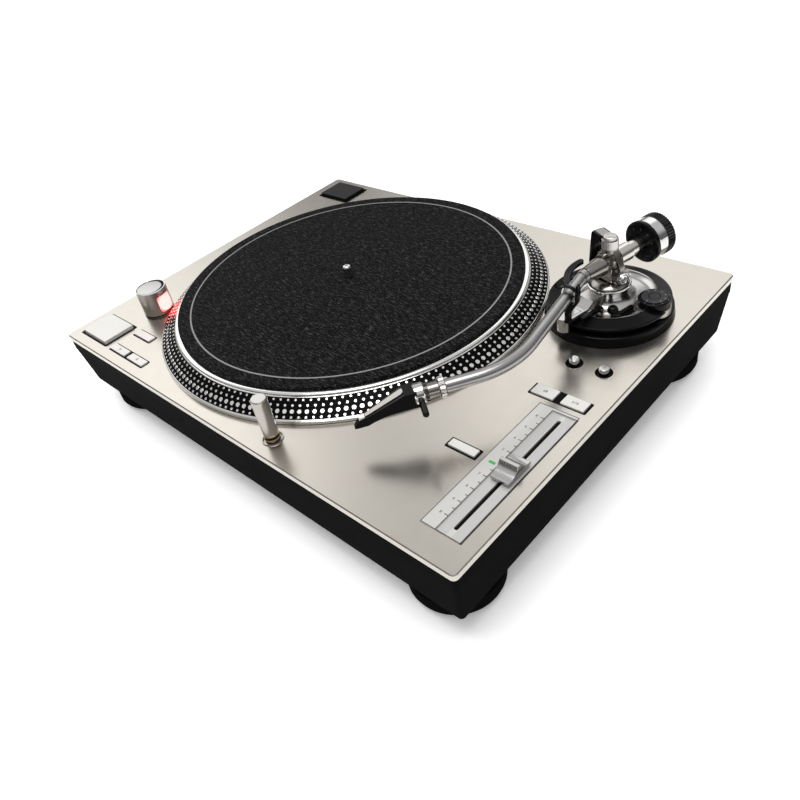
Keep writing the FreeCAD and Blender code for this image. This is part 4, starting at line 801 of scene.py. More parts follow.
@dataclass
class Controls:
    """The marks of the keys, the fader with its scale, and the dots and wells round the knobs.

    Attributes:
        keys: Each numbered key: its number, its name, and where its middle lies.
        key_top: The height of a key's top.
        digit: The size of a key's number.
        panel: The middle, width and length of the fader's panel.
        panel_top: The height of its top.
        slot: Where the fader's slot has its middle.
        slot_size: The slot's width and length.
        travel: How far off the slot's middle the panel's inner line has its own.
        line: The middle, width and length of that inner line.
        channels: The middle and width of each strip beside the slot.
        channel_length: The length of both strips.
        step: How far the fader goes for two of its numbers.
        long_mark: The middle and length of a mark with a number.
        short_mark: The middle and length of a mark without one.
        numbers: Where the numbers stand, and their size.
        lamp: Where the green lamp has its middle, counted from the panel's, and its size.
        widths: The widths of the panel's border, of the inner line and of a mark.
        ridge: The hollow on one side of the fader's cap, from the ridge outward.
        cap_half: Half of the cap's width.
        stem: The width, depth and heights of the fader's stem.
        slider: Those of the slider under the plate.
        knobs: Where the small knobs stand.
        dot_count: How many dots there are round each knob.
        dot_arc: Where they start and how far apart they are, in degrees.
        dot_reach: How far off the knob's axis they lie.
        dot_radius: The radius of a dot.
        well_floor: The inner and outer radius of a knob's well and the heights of its floor.
        well_edge: Those of the well's edge.
    """

    keys: tuple[tuple[str, str, float, float], ...] = (
        ("33", "speed_button_33", -153.0, -158.3), ("45", "speed_button_45", -125.4, -158.3),
        ("±8", "range_button_left", 181.0, -19.9), ("±16", "range_button_right", 204.2, -19.9),
    )
    key_top: float = 1.3
    digit: float = 3.2
    panel: Four = (198.8, -91.7, 30.5, 123.3)
    panel_top: float = 0.3
    slot: Point = (204.3, -92.2)
    slot_size: Point = (2.9, 107.8)
    travel: float = -0.6
    line: Place = (204.6, 19.4, 120.4)
    channels: tuple[Point, ...] = ((199.2, 6.6), (209.8, 7.2))
    channel_length: float = 118.6
    step: float = 12.3
    long_mark: Point = (193.6, 2.8)
    short_mark: Point = (194.0, 1.7)
    numbers: Point = (189.4, 2.9)
    lamp: Four = (190.6, -0.8, 4.6, 1.9)
    widths: Place = (0.5, 0.45, 0.55)
    ridge: Section = ((1.7, 7.6), (2.6, 5.8), (4.2, 4.3), (6.4, 3.3), (8.8, 2.8), (11.4, 2.7))
    cap_half: float = 6.9
    stem: Four = (2.0, 7.0, -9.0, 0.9)
    slider: Four = (6.8, 12.0, -14.5, -8.5)
    knobs: tuple[Point, ...] = ((180.3, 17.1), (202.9, 18.0))
    dot_count: int = 11
    dot_arc: Point = (-50, 28)
    dot_reach: float = 8.3
    dot_radius: float = 0.32
    well_floor: Four = (4.15, 6.15, -1.75, -1.45)
    well_edge: Four = (5.95, 6.18, -3.0, 0.12)

    def key_numbers(self) -> None:
        """Makes the numbers on the speed and range keys."""
        for text, key, x, y in self.keys:
            maker = Maker(f"number_{key}", DECK)
            maker.write(text, self.digit, spot(x, y, self.key_top + 0.01))
            maker.done(Finishes.INK, f"{key}_body")

    def scale(self) -> None:
        """Makes the fader's scale, the lines round its panel and its green lamp."""
        x, y, width, length = self.panel
        top = self.panel_top
        ink = (top + INK_LOW, top + INK_HIGH)
        middle = self.slot[1] + self.travel
        lines = Maker("fader_lines", DECK)
        border, inner, thin = self.widths
        lines.outline(x, y, width - border, length - border, border, *ink)
        lines.outline(self.line[0], middle, self.line[1], self.line[2], inner, *ink)
        for number in range(-8, 9):
            numbered = number % 2 == 0
            mark = y + number / 2 * self.step
            at, wide = self.long_mark if numbered else self.short_mark
            if number:
                lines.slab(at, mark, wide, thin, *ink)
            if numbered and number:
                lines.write(str(abs(number)), self.numbers[1], spot(self.numbers[0], mark, top + 0.01), 0.03)
        lines.done(Finishes.INK, "plinth")
        channel = Maker("fader_channel", DECK)
        for at, wide in self.channels:
            channel.slab(at, middle, wide, self.channel_length, -0.62, -0.55)
        channel.done(Finishes.CHANNEL, "plinth")
        slot = Maker("fader_slot_lining", DECK)
        slot.slab(*self.slot, *self.slot_size, -2.4, -1.9)
        slot.done(Finishes.MATT_BLACK, "plinth")
        lamp = Maker("fader_lamp", DECK)
        at, off, wide, deep = self.lamp
        lamp.slab(at, y + off, wide, deep, top - 0.1, top + 0.25)
        lamp.done(Finishes.LED, "plinth")

    def fader(self) -> None:
        """Makes the fader's cap, hollowed on both sides of its ridge, with its stem and slider."""
        cap = Maker("fader_cap", spot(*self.slot))
        left = [(-out, up) for out, up in self.ridge]
        side = [(-11.7, 0.75), (11.7, 0.75), *reversed(self.ridge), (1.2, 8.4), (-1.2, 8.4), *left]
        cap.push(side, -self.cap_half, self.cap_half, FACING_X)
        cap.slab(0, 0, *self.stem)
        cap.slab(0, 0, *self.slider)
        made = cap.done(Finishes.DISH, "pitch_fader_body", bevel=0.35)
        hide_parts("pitch_fader")

    def knob_dots(self) -> None:
        """Makes a part circle of dots round each small knob, and the black wells that they stand in."""
        dots = Maker("knob_dots", DECK)
        wells = Maker("knob_wells", DECK)
        for x, y in self.knobs:
            knob = spot(x, y, 0)
            start, apart = self.dot_arc
            for number in range(self.dot_count):
                where = knob @ about(start + apart * number, self.dot_reach)
                dots.turn(round_ring(PIN, self.dot_radius, INK_LOW, 0.03), 8, where)
            for section in (self.well_floor, self.well_edge):
                wells.turn(round_ring(*section), 48, knob)
        dots.done(Finishes.INK, "plinth")
        wells.done(Finishes.MATT_BLACK, "plinth")

    def build(self) -> None:
        """Makes all the controls' pieces."""
        self.key_numbers()
        self.scale()
        self.fader()
        self.knob_dots()


@dataclass
class Tower:
    """The strobe tower's dark foot, and the gap, the bright rim and the cap of its power dial.

    Attributes:
        height: The height of the tower's top.
        foot: The section of the dark foot.
        gap: The inner and outer radius of the gap round the dial, and its heights from the tower's top.
        rim: The section of the rim, counted from the tower's top.
        cap: The section of the dial's cap, counted from there.
        cap_shift: How far the cap stands off the tower's axis.
    """

    height: float = 24.0
    foot: Section = ((12.7, 0.03), (13.55, 0.9), (13.55, 1.7), (13.0, 1.7), (12.4, 0.4))
    gap: Four = (9.4, 12.35, -0.2, 0.06)
    rim: Section = ((12.3, -0.4), (13.45, -0.5), (13.5, -0.1), (13.2, 0.35), (12.55, 0.4), (12.3, 0.1))
    cap: Section = ((PIN, 0.02), (10.8, 0.02), (11.0, 0.15), (10.9, 0.3), (10.6, 0.35), (PIN, 0.35))
    cap_shift: Point = (-0.35, -0.95)

    def build(self) -> None:
        """Makes the foot, the gap, the rim and the cap."""
        top = TOWER @ spot(0, 0, self.height)
        shifted = top @ spot(*self.cap_shift, 0)
        dial = "power_dial_body"
        for name, place, section, finish, body, slot in (
            ("tower_foot", TOWER, self.foot, Finishes.MATT_BLACK, "plinth", "plinth_black"),
            ("tower_gap", top, round_ring(*self.gap), Finishes.MATT_BLACK, dial, "plinth_black"),
            ("tower_rim", top, self.rim, Finishes.CHROME, "plinth", "arm_black"),
            ("dial_cap", shifted, self.cap, Finishes.DIAL_TOP, dial, "dial_grey"),
        ):
            maker = Maker(name, place)
            maker.turn(section)
            maker.done(finish, body)


@dataclass
class Light:
    """The slim pillar of the light beside the platter, with its lens and the rings round its foot.

    Attributes:
        place: Where it stands on the plate.
        facing: Its turn about Z in degrees.
        radius: The pillar's radius under its top.
        height: Its height above the plate.
        foot: The section of its foot and waist, from the axis out and upward.
        rings: The lowest point of each brass ring.
        ring: The inner and outer radius of a ring.
        ring_height: How high a ring is.
        grooves: The section of each dark groove.
        lens: The radius of the lens.
        lens_drop: How far below the top the lens has its middle.
    """

    place: Point = (51, -156)
    facing: float = 27
    radius: float = 5.7
    height: float = 36.4
    foot: Section = (
        (PIN, -14), (6.8, -14), (6.8, -0.6), (6.5, -0.3), (5.3, -0.2), (5.3, 0.9), (5.5, 1.2), (5.5, 2.0),
        (5.2, 2.3), (5.2, 5.4), (5.4, 5.8), (5.45, 7.2),
    )
    rings: tuple[float, ...] = (2.25, 4.8)
    ring: Point = (5.1, 5.45)
    ring_height: float = 0.65
    grooves: tuple[Four, ...] = ((5.1, 5.28, 2.9, 4.8), (5.2, 5.38, -0.15, 0.9))
    lens: float = 2.2
    lens_drop: float = 6.5

    def build(self) -> None:
        """Makes the pillar, its pale top, its lens and its rings."""
        frame = spot(*self.place, turn=self.facing)
        wide, top = self.radius, self.height
        pillar = Maker("light_pillar", frame)
        shoulder = [(wide, 33.0), (wide, top - 0.8), (wide - 0.2, top - 0.3), (wide - 0.6, top), (PIN, top)]
        pillar.turn([*self.foot, *shoulder], 72)
        made = pillar.done(Finishes.SATIN, "target_light_body")
        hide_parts("target_light")
        cap = Maker("light_cap", frame)
        lid = [(PIN, top - 0.1), (wide - 0.75, top - 0.1), (wide - 0.85, top + 0.12), (PIN, top + 0.15)]
        cap.turn(lid, 64)
        cap.done(Finishes.PANEL, "target_light_body")
        rings = Maker("light_rings", frame)
        for low in self.rings:
            rings.turn(round_ring(*self.ring, low, low + self.ring_height), 64)
        rings.done(Finishes.BRASS, "target_light_body")
        dark = Maker("light_groove", frame)
        for groove in self.grooves:
            dark.turn(round_ring(*groove), 64)
        lens = Matrix.Translation((0, wide - 0.35, top - self.lens_drop)) @ spin(-90, "X")
        dark.turn(round_ring(PIN, self.lens, 0.0, 0.45), 40, lens)
        dark.done(Finishes.MATT_BLACK, "target_light_body")


@dataclass
class ArmBase:
    """The anti-skate dial's marks, the cup, the yoke, the bracket and the rest of the tonearm's base.

    Attributes:
        dial_top: The height of the anti-skate dial's top.
        dial_faces: The sections of its grey ring and middle, counted from its top, and the steps of each.
        dial_marks: How many marks and numbers it has.
        dial_mark: The middle, length and width of a mark.
        dial_mark_span: The heights of its underside and top, counted from the dial's top.
        dial_number: How far out the numbers stand, how high above the top, and their size.
        cup_ring: The section of the rolled ring round the cup's mouth.
        cup_flare: The section of the flare under it.
        cup_lining: The section of the cup's black lining.
        bead_radii: The radius of each bead round the saucer.
        bead_section: A bead's section, counted from its radius and height.
        bead_arc: Where the beads start and end, in degrees.
        bead_steps: The number of steps of a bead.
        saucer_edge: The radius and height of the saucer's edge.
        saucer_slope: How much the saucer rises inward.
        yoke_side: The yoke seen from its side.
        yoke_half: Half of the yoke's width.
        tongue: The tongue that carries the bearing knob, seen from its side.
        tongue_half: Half of the tongue's width.
        yoke_strip: The pale strip on the yoke's back, seen from its side.
        strip_half: Half of the strip's width.
        knob_grip: The section of the bearing knob's knurled edge.
        knob_top: The section of its top, with the rings cut in it.
        bracket_outside: The outer line of the bracket's rim, from the arm's axis round its end and back.
        bracket_inside: The rim's inner line, the other way round.
        bracket_span: The heights of the rim's underside and top.
        bracket_lines: The middle, width and depth of each dark line painted as shade in the V-grooves scribed
            on the bracket.
        cradle_side: The cradle seen along the tube.
        cradle_half: Half of its length along the tube.
        cradle_post: The section of its post.
        clip_side: The clip's band seen along the tube.
        clip_half: Half of the band's width.
        fin_side: The fin that opens the clip, seen along the tube.
        fin_half: Half of the fin's width.
    """

    dial_top: float = 20.6
    dial_faces: tuple[tuple[Section, int], ...] = (
        (((4.4, -0.1), (9.2, -0.1), (9.0, 0.12), (4.4, 0.12)), 64),
        (((PIN, -0.1), (3.9, -0.1), (3.7, 0.2), (PIN, 0.2)), 48),
    )
    dial_marks: int = 8
    dial_mark: Place = (9.95, 0.8, 0.22)
    dial_mark_span: Point = (-0.55, -0.42)
    dial_number: Place = (7.7, 0.13, 1.7)
    cup_ring: Section = (
        (14.3, 24.7), (14.9, 24.3), (15.55, 24.4), (15.75, 25.0), (15.6, 25.5), (15.1, 25.75), (14.5, 25.6)
    )
    cup_flare: Section = (
        (15.25, 24.6), (15.3, 21.0), (15.8, 18.2), (17.0, 16.0), (19.0, 14.5), (21.6, 13.75), (21.6, 13.0),
        (15.2, 13.0),
    )
    cup_lining: Section = ((13.9, 24.75), (14.6, 24.75), (14.6, 25.35), (13.9, 25.2))
    bead_radii: tuple[float, ...] = (36.9, 39.0, 41.1)
    bead_section: Section = ((-0.35, 0.0), (0.0, 0.26), (0.35, -0.17))
    bead_arc: Point = (140, 438)
    bead_steps: int = 80
    saucer_edge: Point = (44, 14.1)
    saucer_slope: float = 0.25
    yoke_side: Section = (
        (16.9, 13.4), (21.6, 13.4), (21.2, 31.0), (18.2, 58.2), *bow(14.4, 58.2, 3.6, 5, 90, 8),
        (5.7, 61.8), (5.7, 56.8), *bow(-1.6, 40.5, 18.2, 62, 16, 8), (16.9, 36.0),
    )
    yoke_half: float = 4.9
    tongue: Section = ((-1.0, 59.6), (7.0, 59.6), (7.0, 61.8), (-1.0, 61.8))
    tongue_half: float = 3.6
    yoke_strip: Section = (
        *bow(14.4, 58.2, 3.85, 24, 90, 8), (1.0, 62.05), (1.0, 61.5), *bow(14.4, 58.2, 3.3, 90, 24, 8)
    )
    strip_half: float = 3.4
    knob_grip: Four = (PIN, 4.85, 59.0, 62.6)
    knob_top: Section = (
        (PIN, 62.5), (4.8, 62.5), (4.7, 63.1), (4.3, 63.4), (3.8, 63.3), (3.6, 62.95), (3.3, 62.95),
        (3.1, 63.35), (2.3, 63.4), (2.1, 63.0), (1.7, 63.0), (1.5, 63.45), (PIN, 63.45),
    )
    bracket_outside: Section = (
        (28.5, 7.9), (45.8, 7.9), *bow(45.8, 1.0, 6.9, 88, -88, 20), (45.8, -5.9), (34.0, -5.9)
    )
    bracket_inside: Section = (
        (34.0, -4.9), (45.8, -4.9), *bow(45.8, 1.0, 5.9, -88, 88, 20), (45.8, 6.9), (28.5, 6.9)
    )
    bracket_span: Point = (18.9, 20.3)
    bracket_lines: tuple[Four, ...] = (
        (33.6, 1.2, 0.35, 9.0), (36.8, 5.6, 6.4, 0.35), (38.0, 4.4, 9.0, 0.3)
    )
    cradle_side: Section = (
        (-1.6, 30.6), (-1.2, 27.0), (2.0, 27.0), (4.9, 31.6), (7.9, 36.6), (8.5, 45.4), (6.2, 45.4),
        (5.95, 37.9), *bow(2.6, 38.2, 3.4, -8, -82, 6), (-6.0, 34.7), (-7.6, 35.6), (-8.2, 34.9),
        (-6.6, 32.6), (-4.4, 31.6),
    )
    cradle_half: float = 2.4
    cradle_post: Section = (
        (PIN, 19.05), (3.1, 19.05), (3.1, 20.0), (2.5, 20.6), (2.5, 27.4), (2.2, 28.2), (PIN, 28.2)
    )
    clip_side: Section = (
        *bow(0.05, 40.9, 6.75, 38, 140, 16), (-7.4, 45.5), (-9.2, 46.6), (-9.8, 48.3), (-8.9, 48.7),
        (-8.2, 47.6), (-7.0, 47.0), *bow(0.05, 40.9, 7.95, 137, 38, 16),
    )
    clip_half: float = 1.5
    fin_side: Section = ((5.9, 43.0), (8.9, 43.0), (8.8, 47.6), (8.2, 50.7), (6.9, 51.1), (6.1, 47.6))
    fin_half: float = 1.9

    def anti_skate(self) -> None:
        """Makes the grey face of the anti-skate dial and its marks."""
        top = DIAL @ spot(0, 0, self.dial_top)
        face = Maker("antiskate_face", top)
        for section, steps in self.dial_faces:
            face.turn(section, steps)
        face.done(Finishes.DIAL_GREY, "antiskate_body")
        marks = Maker("antiskate_marks", top)
        (middle, length, width), (reach, rise, size) = self.dial_mark, self.dial_number
        for number in range(self.dial_marks):
            marks.slab(middle, 0, length, width, *self.dial_mark_span, about(TENTH * number))
            marks.write(str(number), size, about(TENTH * number, reach, rise) @ spin(-90), 0.02)
        marks.done(Finishes.PALE_INK, "antiskate_body")

    def cup(self) -> None:
        """Makes the rolled ring round the cup's mouth, the flare under it and the black lining."""
        for name, section, finish, slot in (
            ("cup_ring", self.cup_ring, Finishes.CHROME, "chrome_bright"),
            ("cup_flare", self.cup_flare, Finishes.DISH, "chrome_bright"),
            ("cup_lining", self.cup_lining, Finishes.ARM_BLACK, "arm_black"),
        ):
            maker = Maker(name, CARRIAGE)
            maker.turn(section)
            maker.done(finish, "arm_carriage")

    def beads(self) -> None:
        """Makes the fine beads round the saucer, which stop short of the anti-skate dial."""
        beads = Maker("saucer_beads", CARRIAGE)
        steps, (first, last) = self.bead_steps, self.bead_arc
        edge, low_point = self.saucer_edge
        faces: list[tuple[int, ...]] = [(0, 1, 2), (3 * steps + 2, 3 * steps + 1, 3 * steps)]
        for step in range(steps):
            low = 3 * step
            faces += [(low + k, low + 3 + k, low + 3 + (k + 1) % 3, low + (k + 1) % 3) for k in range(3)]
        for radius in self.bead_radii:
            height = low_point + (edge - radius) * self.saucer_slope
            corners = []
            for step in range(steps + 1):
                angle = math.radians(first + (last - first) * step / steps)
                for reach, rise in self.bead_section:
                    run = radius + reach
                    corners.append((run * math.cos(angle), run * math.sin(angle), height + rise))
            beads.take(corners, faces)
        beads.done(Finishes.GLOSS_BLACK, "arm_carriage")

    def yoke(self) -> None:
        """Makes the C-shaped yoke with its pale top, and the knurled bearing knob at its end."""
        yoke = Maker("yoke_frame", YOKE)
        yoke.push(self.yoke_side, -self.yoke_half, self.yoke_half, FACING_Y)
        yoke.push(self.tongue, -self.tongue_half, self.tongue_half, FACING_Y)
        made = yoke.done(Finishes.ARM_BLACK, "arm_carriage", bevel=0.9)
        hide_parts("gimbal_yoke")
        strip = Maker("yoke_top", YOKE)
        strip.push(self.yoke_strip, -self.strip_half, self.strip_half, FACING_Y)
        # The yoke's top strip is chrome darkened as painted shade.
        strip.done(Finishes.SMOKED_CHROME, "arm_carriage", bevel=0.15)
        knob = Maker("bearing_knob", YOKE)
        knob.turn(round_ring(*self.knob_grip), 48, teeth=0.12)
        knob.turn(self.knob_top, 72)
        cap = knob.done(Finishes.KNURLED, "arm_carriage")
        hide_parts("bearing_cap")

    def bracket(self) -> None:
        """Makes the raised rim of the rest's bracket and the dark lines of painted shade in the fine grooves
        scribed on it.
        """
        rim = Maker("bracket_rim", CARRIAGE)
        outline = [*self.bracket_outside, *self.bracket_inside]
        total = len(outline)
        corners = [(x, y, z) for z in self.bracket_span for x, y in outline]
        faces: list[tuple[int, ...]] = []
        for index in range(len(self.bracket_outside) - 1):
            far, near = total - 1 - index, total - 2 - index
            faces.append((total + index + 1, total + index, total + far, total + near))
            faces.append((index, index + 1, near, far))
        for index in range(total):
            after = (index + 1) % total
            faces.append((after, index, total + index, total + after))
        rim.take(corners, faces)
        rim.done(Finishes.DISH, "arm_carriage")
        # The black lines are painted shade in the bracket's scribed V-grooves.
        lines = Maker("bracket_lines", CARRIAGE)
        for x, y, width, depth in self.bracket_lines:
            lines.slab(x, y, width, depth, 19.0, 19.04)
        lines.done(Finishes.INK, "arm_carriage")

    def rest(self) -> None:
        """Makes the slender cradle that the tube lies in, and the clip that swings over it."""
        cradle = Maker("rest_cradle", REST)
        cradle.push(self.cradle_side, -self.cradle_half, self.cradle_half, FACING_X)
        cradle.turn(self.cradle_post, 40)
        made = cradle.done(Finishes.ARM_BLACK, "arm_carriage", bevel=0.7)
        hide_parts("arm_rest")
        clip = Maker("rest_clip_band", REST)
        clip.push(self.clip_side, -self.clip_half, self.clip_half, FACING_X)
        clip.push(self.fin_side, -self.fin_half, self.fin_half, FACING_X)
        made = clip.done(Finishes.ARM_BLACK, "rest_clip_body", bevel=0.45)
        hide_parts("rest_clip")

    def build(self) -> None:
        """Makes all the base's pieces."""
        self.anti_skate()
        self.cup()
        self.beads()
        self.yoke()
        self.bracket()
        self.rest()


@dataclass
class Gimbal:
    """The arch that turns with the arm, its pivot screws and its knurled sleeve.

    Attributes:
        leg: One leg of the arch, seen along the arm.
        half: Half of the arch's width.
        hub: The section of the hub that joins the legs.
        pitch: The height of the pivot screws.
        screw_reach: How far off the axis they lie.
        screw: A screw's section, with two rings round a dimple.
        sleeve_section: The inner and outer radius of the sleeve, and its heights.
    """

    leg: Section = (
        (13.0, 38.6), (12.3, 43.0), (5.6, 53.8), (3.6, 55.4), (1.0, 55.6), (1.0, 52.2), (2.6, 51.8),
        (9.0, 42.2), (9.4, 38.6),
    )
    half: float = 2.3
    hub: Section = ((PIN, 50.6), (4.6, 51.2), (5.0, 52.4), (5.0, 54.9), (PIN, 54.9))
    pitch: float = 33.5
    screw_reach: float = 13.4
    screw: Section = (
        (PIN, -0.9), (4.7, -0.9), (4.7, 0.3), (4.4, 0.75), (3.8, 0.8), (3.5, 0.3), (3.1, 0.25), (2.8, 0.9),
        (2.0, 1.0), (1.6, 0.5), (1.1, 0.45), (0.8, 0.95), (PIN, 1.0),
    )
    sleeve_section: Four = (0.5, 6.1, 54.6, 60.75)

    def arch(self) -> None:
        """Makes the two polished legs of the arch."""
        maker = Maker("arch_legs", GIMBAL)
        for side in (1, -1):
            outline = [(side * y, z) for y, z in self.leg]
            maker.push(outline if side < 0 else outline[::-1], -self.half, self.half, FACING_X)
        maker.turn(self.hub, 56)
        # The legs are chrome darkened as painted shade for their darker reflections.
        made = maker.done(Finishes.SMOKED_CHROME, "arm_yaw_body", bevel=0.7)
        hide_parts("gimbal_arch")

    def screws(self) -> None:
        """Makes the pivot screws, each with two rings round a dimple."""
        rings = Maker("pivot_screws", GIMBAL)
        for side in (1, -1):
            rings.turn(self.screw, 48, spot(0, side * self.screw_reach, self.pitch) @ spin(-90 * side, "X"))
        rings.done(Finishes.CHROME, "arm_yaw_body")

    def sleeve(self) -> None:
        """Makes the knurled sleeve round the head under the yoke."""
        sleeve = Maker("bearing_sleeve", GIMBAL)
        sleeve.turn(round_ring(*self.sleeve_section), 56, teeth=0.12)
        sleeve.done(Finishes.KNURLED, "arm_yaw_body", KNURL_SMOOTH)

    def build(self) -> None:
        """Makes all the gimbal's pieces."""
        self.arch()
        self.screws()
        self.sleeve()


@dataclass
class Arm:
    """The tonearm's rings, knurls and numbers, its cone and counterweight, and the bright parts of its head.

    Attributes:
        lines: Where each dark line starts along the barrel, and its radius.
        cone_section: The section of the cone, as radius and place along the arm.
        band: The section of the counterweight's bright band.
        rim: The section of its knurled black rim.
        number_place: Where a number of the force dial stands along the arm, and its radius.
        number_size: The size of a number.
        rim_teeth: How deep the rim's knurl is.
        collar: The section of the head's collar.
        socket_knurl: The section of the socket's knurl.
        lock_knurl: The section of the locking collar's knurl.
        strip_fall: How far the strip on the head runs, and how far it falls over that.
        strip_place: Where the strip has its middle.
        strip_span: The heights of its underside and top.
        strip: Its outline.
        tip: The outline of the white block at the stylus.
        tip_span: The heights of its underside and top.
    """

    lines: tuple[Point, ...] = ((23.1, 5.36), (-17.6, 6.3), (-24.5, 5.64))
    cone_section: Section = (
        (5.0, 23.3), (5.35, 23.2), (5.5, 22.6), (6.5, 15.5), (7.25, 9.5), (7.3, 7.6), (6.7, 6.6), (5.0, 6.6)
    )
    band: Section = ((7.3, -42.2), (15.3, -42.2), (15.3, -35.2), (15.0, -34.85), (7.3, -34.85))
    rim: Section = (
        (7.3, -49.4), (13.4, -49.4), (14.2, -50.1), (15.5, -49.8), (15.9, -49.0), (15.9, -42.6),
        (15.5, -42.0), (7.3, -41.8),
    )
    number_place: Point = (-30.38, 10.9)
    number_size: float = 2.6
    rim_teeth: float = 0.5
    collar: Section = (
        (6.3, -48.45), (6.65, -48.45), (7.08, -47.9), (7.08, -42.5), (6.5, -41.8), (6.3, -41.8)
    )
    socket_knurl: Four = (6.6, 6.95, -61.9, -58.7)
    lock_knurl: Four = (6.2, 6.6, -51.0, -48.8)
    strip_fall: Point = (26.8, 11.2)
    strip_place: Place = (-22.1, 0, 0.35)
    strip_span: Point = (-0.3, 0.35)
    strip: Section = (
        (-14.6, -1.2), (-14.0, -2.1), (-12.6, -2.6), (12.0, -1.7), (14.6, -1.3), (14.6, 1.3), (12.0, 1.7),
        (-12.6, 2.6), (-14.0, 2.1), (-14.6, 1.2),
    )
    tip: Section = ((-8.2, -1.9), (-4.2, -1.7), (-4.2, 1.7), (-8.2, 1.9))
    tip_span: Point = (-8.6, -5.1)

    def grooves(self) -> None:
        """Makes the dark lines at the ends of the barrel."""
        maker = Maker("barrel_lines", ARM)
        for low, radius in self.lines:
            maker.turn(round_ring(radius - 0.3, radius, low, low + 0.6), 48, LYING)
        maker.done(Finishes.MATT_BLACK, "tonearm")

    def cone(self) -> None:
        """Makes the cone that the barrel swells to before the gimbal."""
        maker = Maker("barrel_cone", ARM)
        maker.turn(self.cone_section, 64, LYING)
        # The cone is chrome darkened as painted shade for its darker reflections.
        maker.done(Finishes.SMOKED_CHROME, "tonearm")

    def weight(self) -> None:
        """Makes the counterweight's bright band and its knurled black rim, and the numbers of its dial."""
        band = Maker("weight_band", ARM)
        band.turn(self.band, 128, LYING)
        made = band.done(Finishes.CHROME, "counterweight_body")
        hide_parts("counterweight")
        rim = Maker("weight_rim", ARM)
        rim.turn(self.rim, 92, LYING, self.rim_teeth)
        rim.done(Finishes.GLOSS_BLACK, "counterweight_body", KNURL_SMOOTH)
        numbers = Maker("force_numbers", ARM)
        along, radius = self.number_place
        for number in range(10):
            face = spin(TENTH * number, "X") @ spot(along, 0, radius) @ spin(90, "Y") @ spin(90)
            numbers.write(str(number), self.number_size, face, 0.03)
        numbers.done(Finishes.FAINT_INK, "force_dial_body")

    def head(self) -> None:
        """Makes the head's bright collar, top strip, tip block and knurls."""
        collar = Maker("head_collar", HEAD)
        collar.turn(self.collar, 64, LYING)
        collar.done(Finishes.CHROME, "cartridge_body")
        knurl = Maker("socket_knurl", HEAD)
        knurl.turn(round_ring(*self.socket_knurl), 96, LYING, 0.2)
        knurl.done(Finishes.CHROME, "tonearm")
        dark = Maker("lock_knurl", HEAD)
        dark.turn(round_ring(*self.lock_knurl), 96, LYING, 0.25)
        dark.done(Finishes.ARM_BLACK, "locking_collar_body")
        strip = Maker("head_strip", HEAD)
        run, fall = self.strip_fall
        lie = Matrix.Translation(self.strip_place) @ Matrix.Rotation(math.atan2(fall, run), 4, "Y")
        strip.push(self.strip, *self.strip_span, lie)
        strip.done(Finishes.SATIN, "cartridge_body")
        tip = Maker("head_tip", HEAD)
        tip.push(self.tip, *self.tip_span)
        tip.done(Finishes.STYLUS, "cartridge_body")

    def build(self) -> None:
        """Makes all the arm's pieces."""
        self.grooves()
        self.cone()
        self.weight()
        self.head()


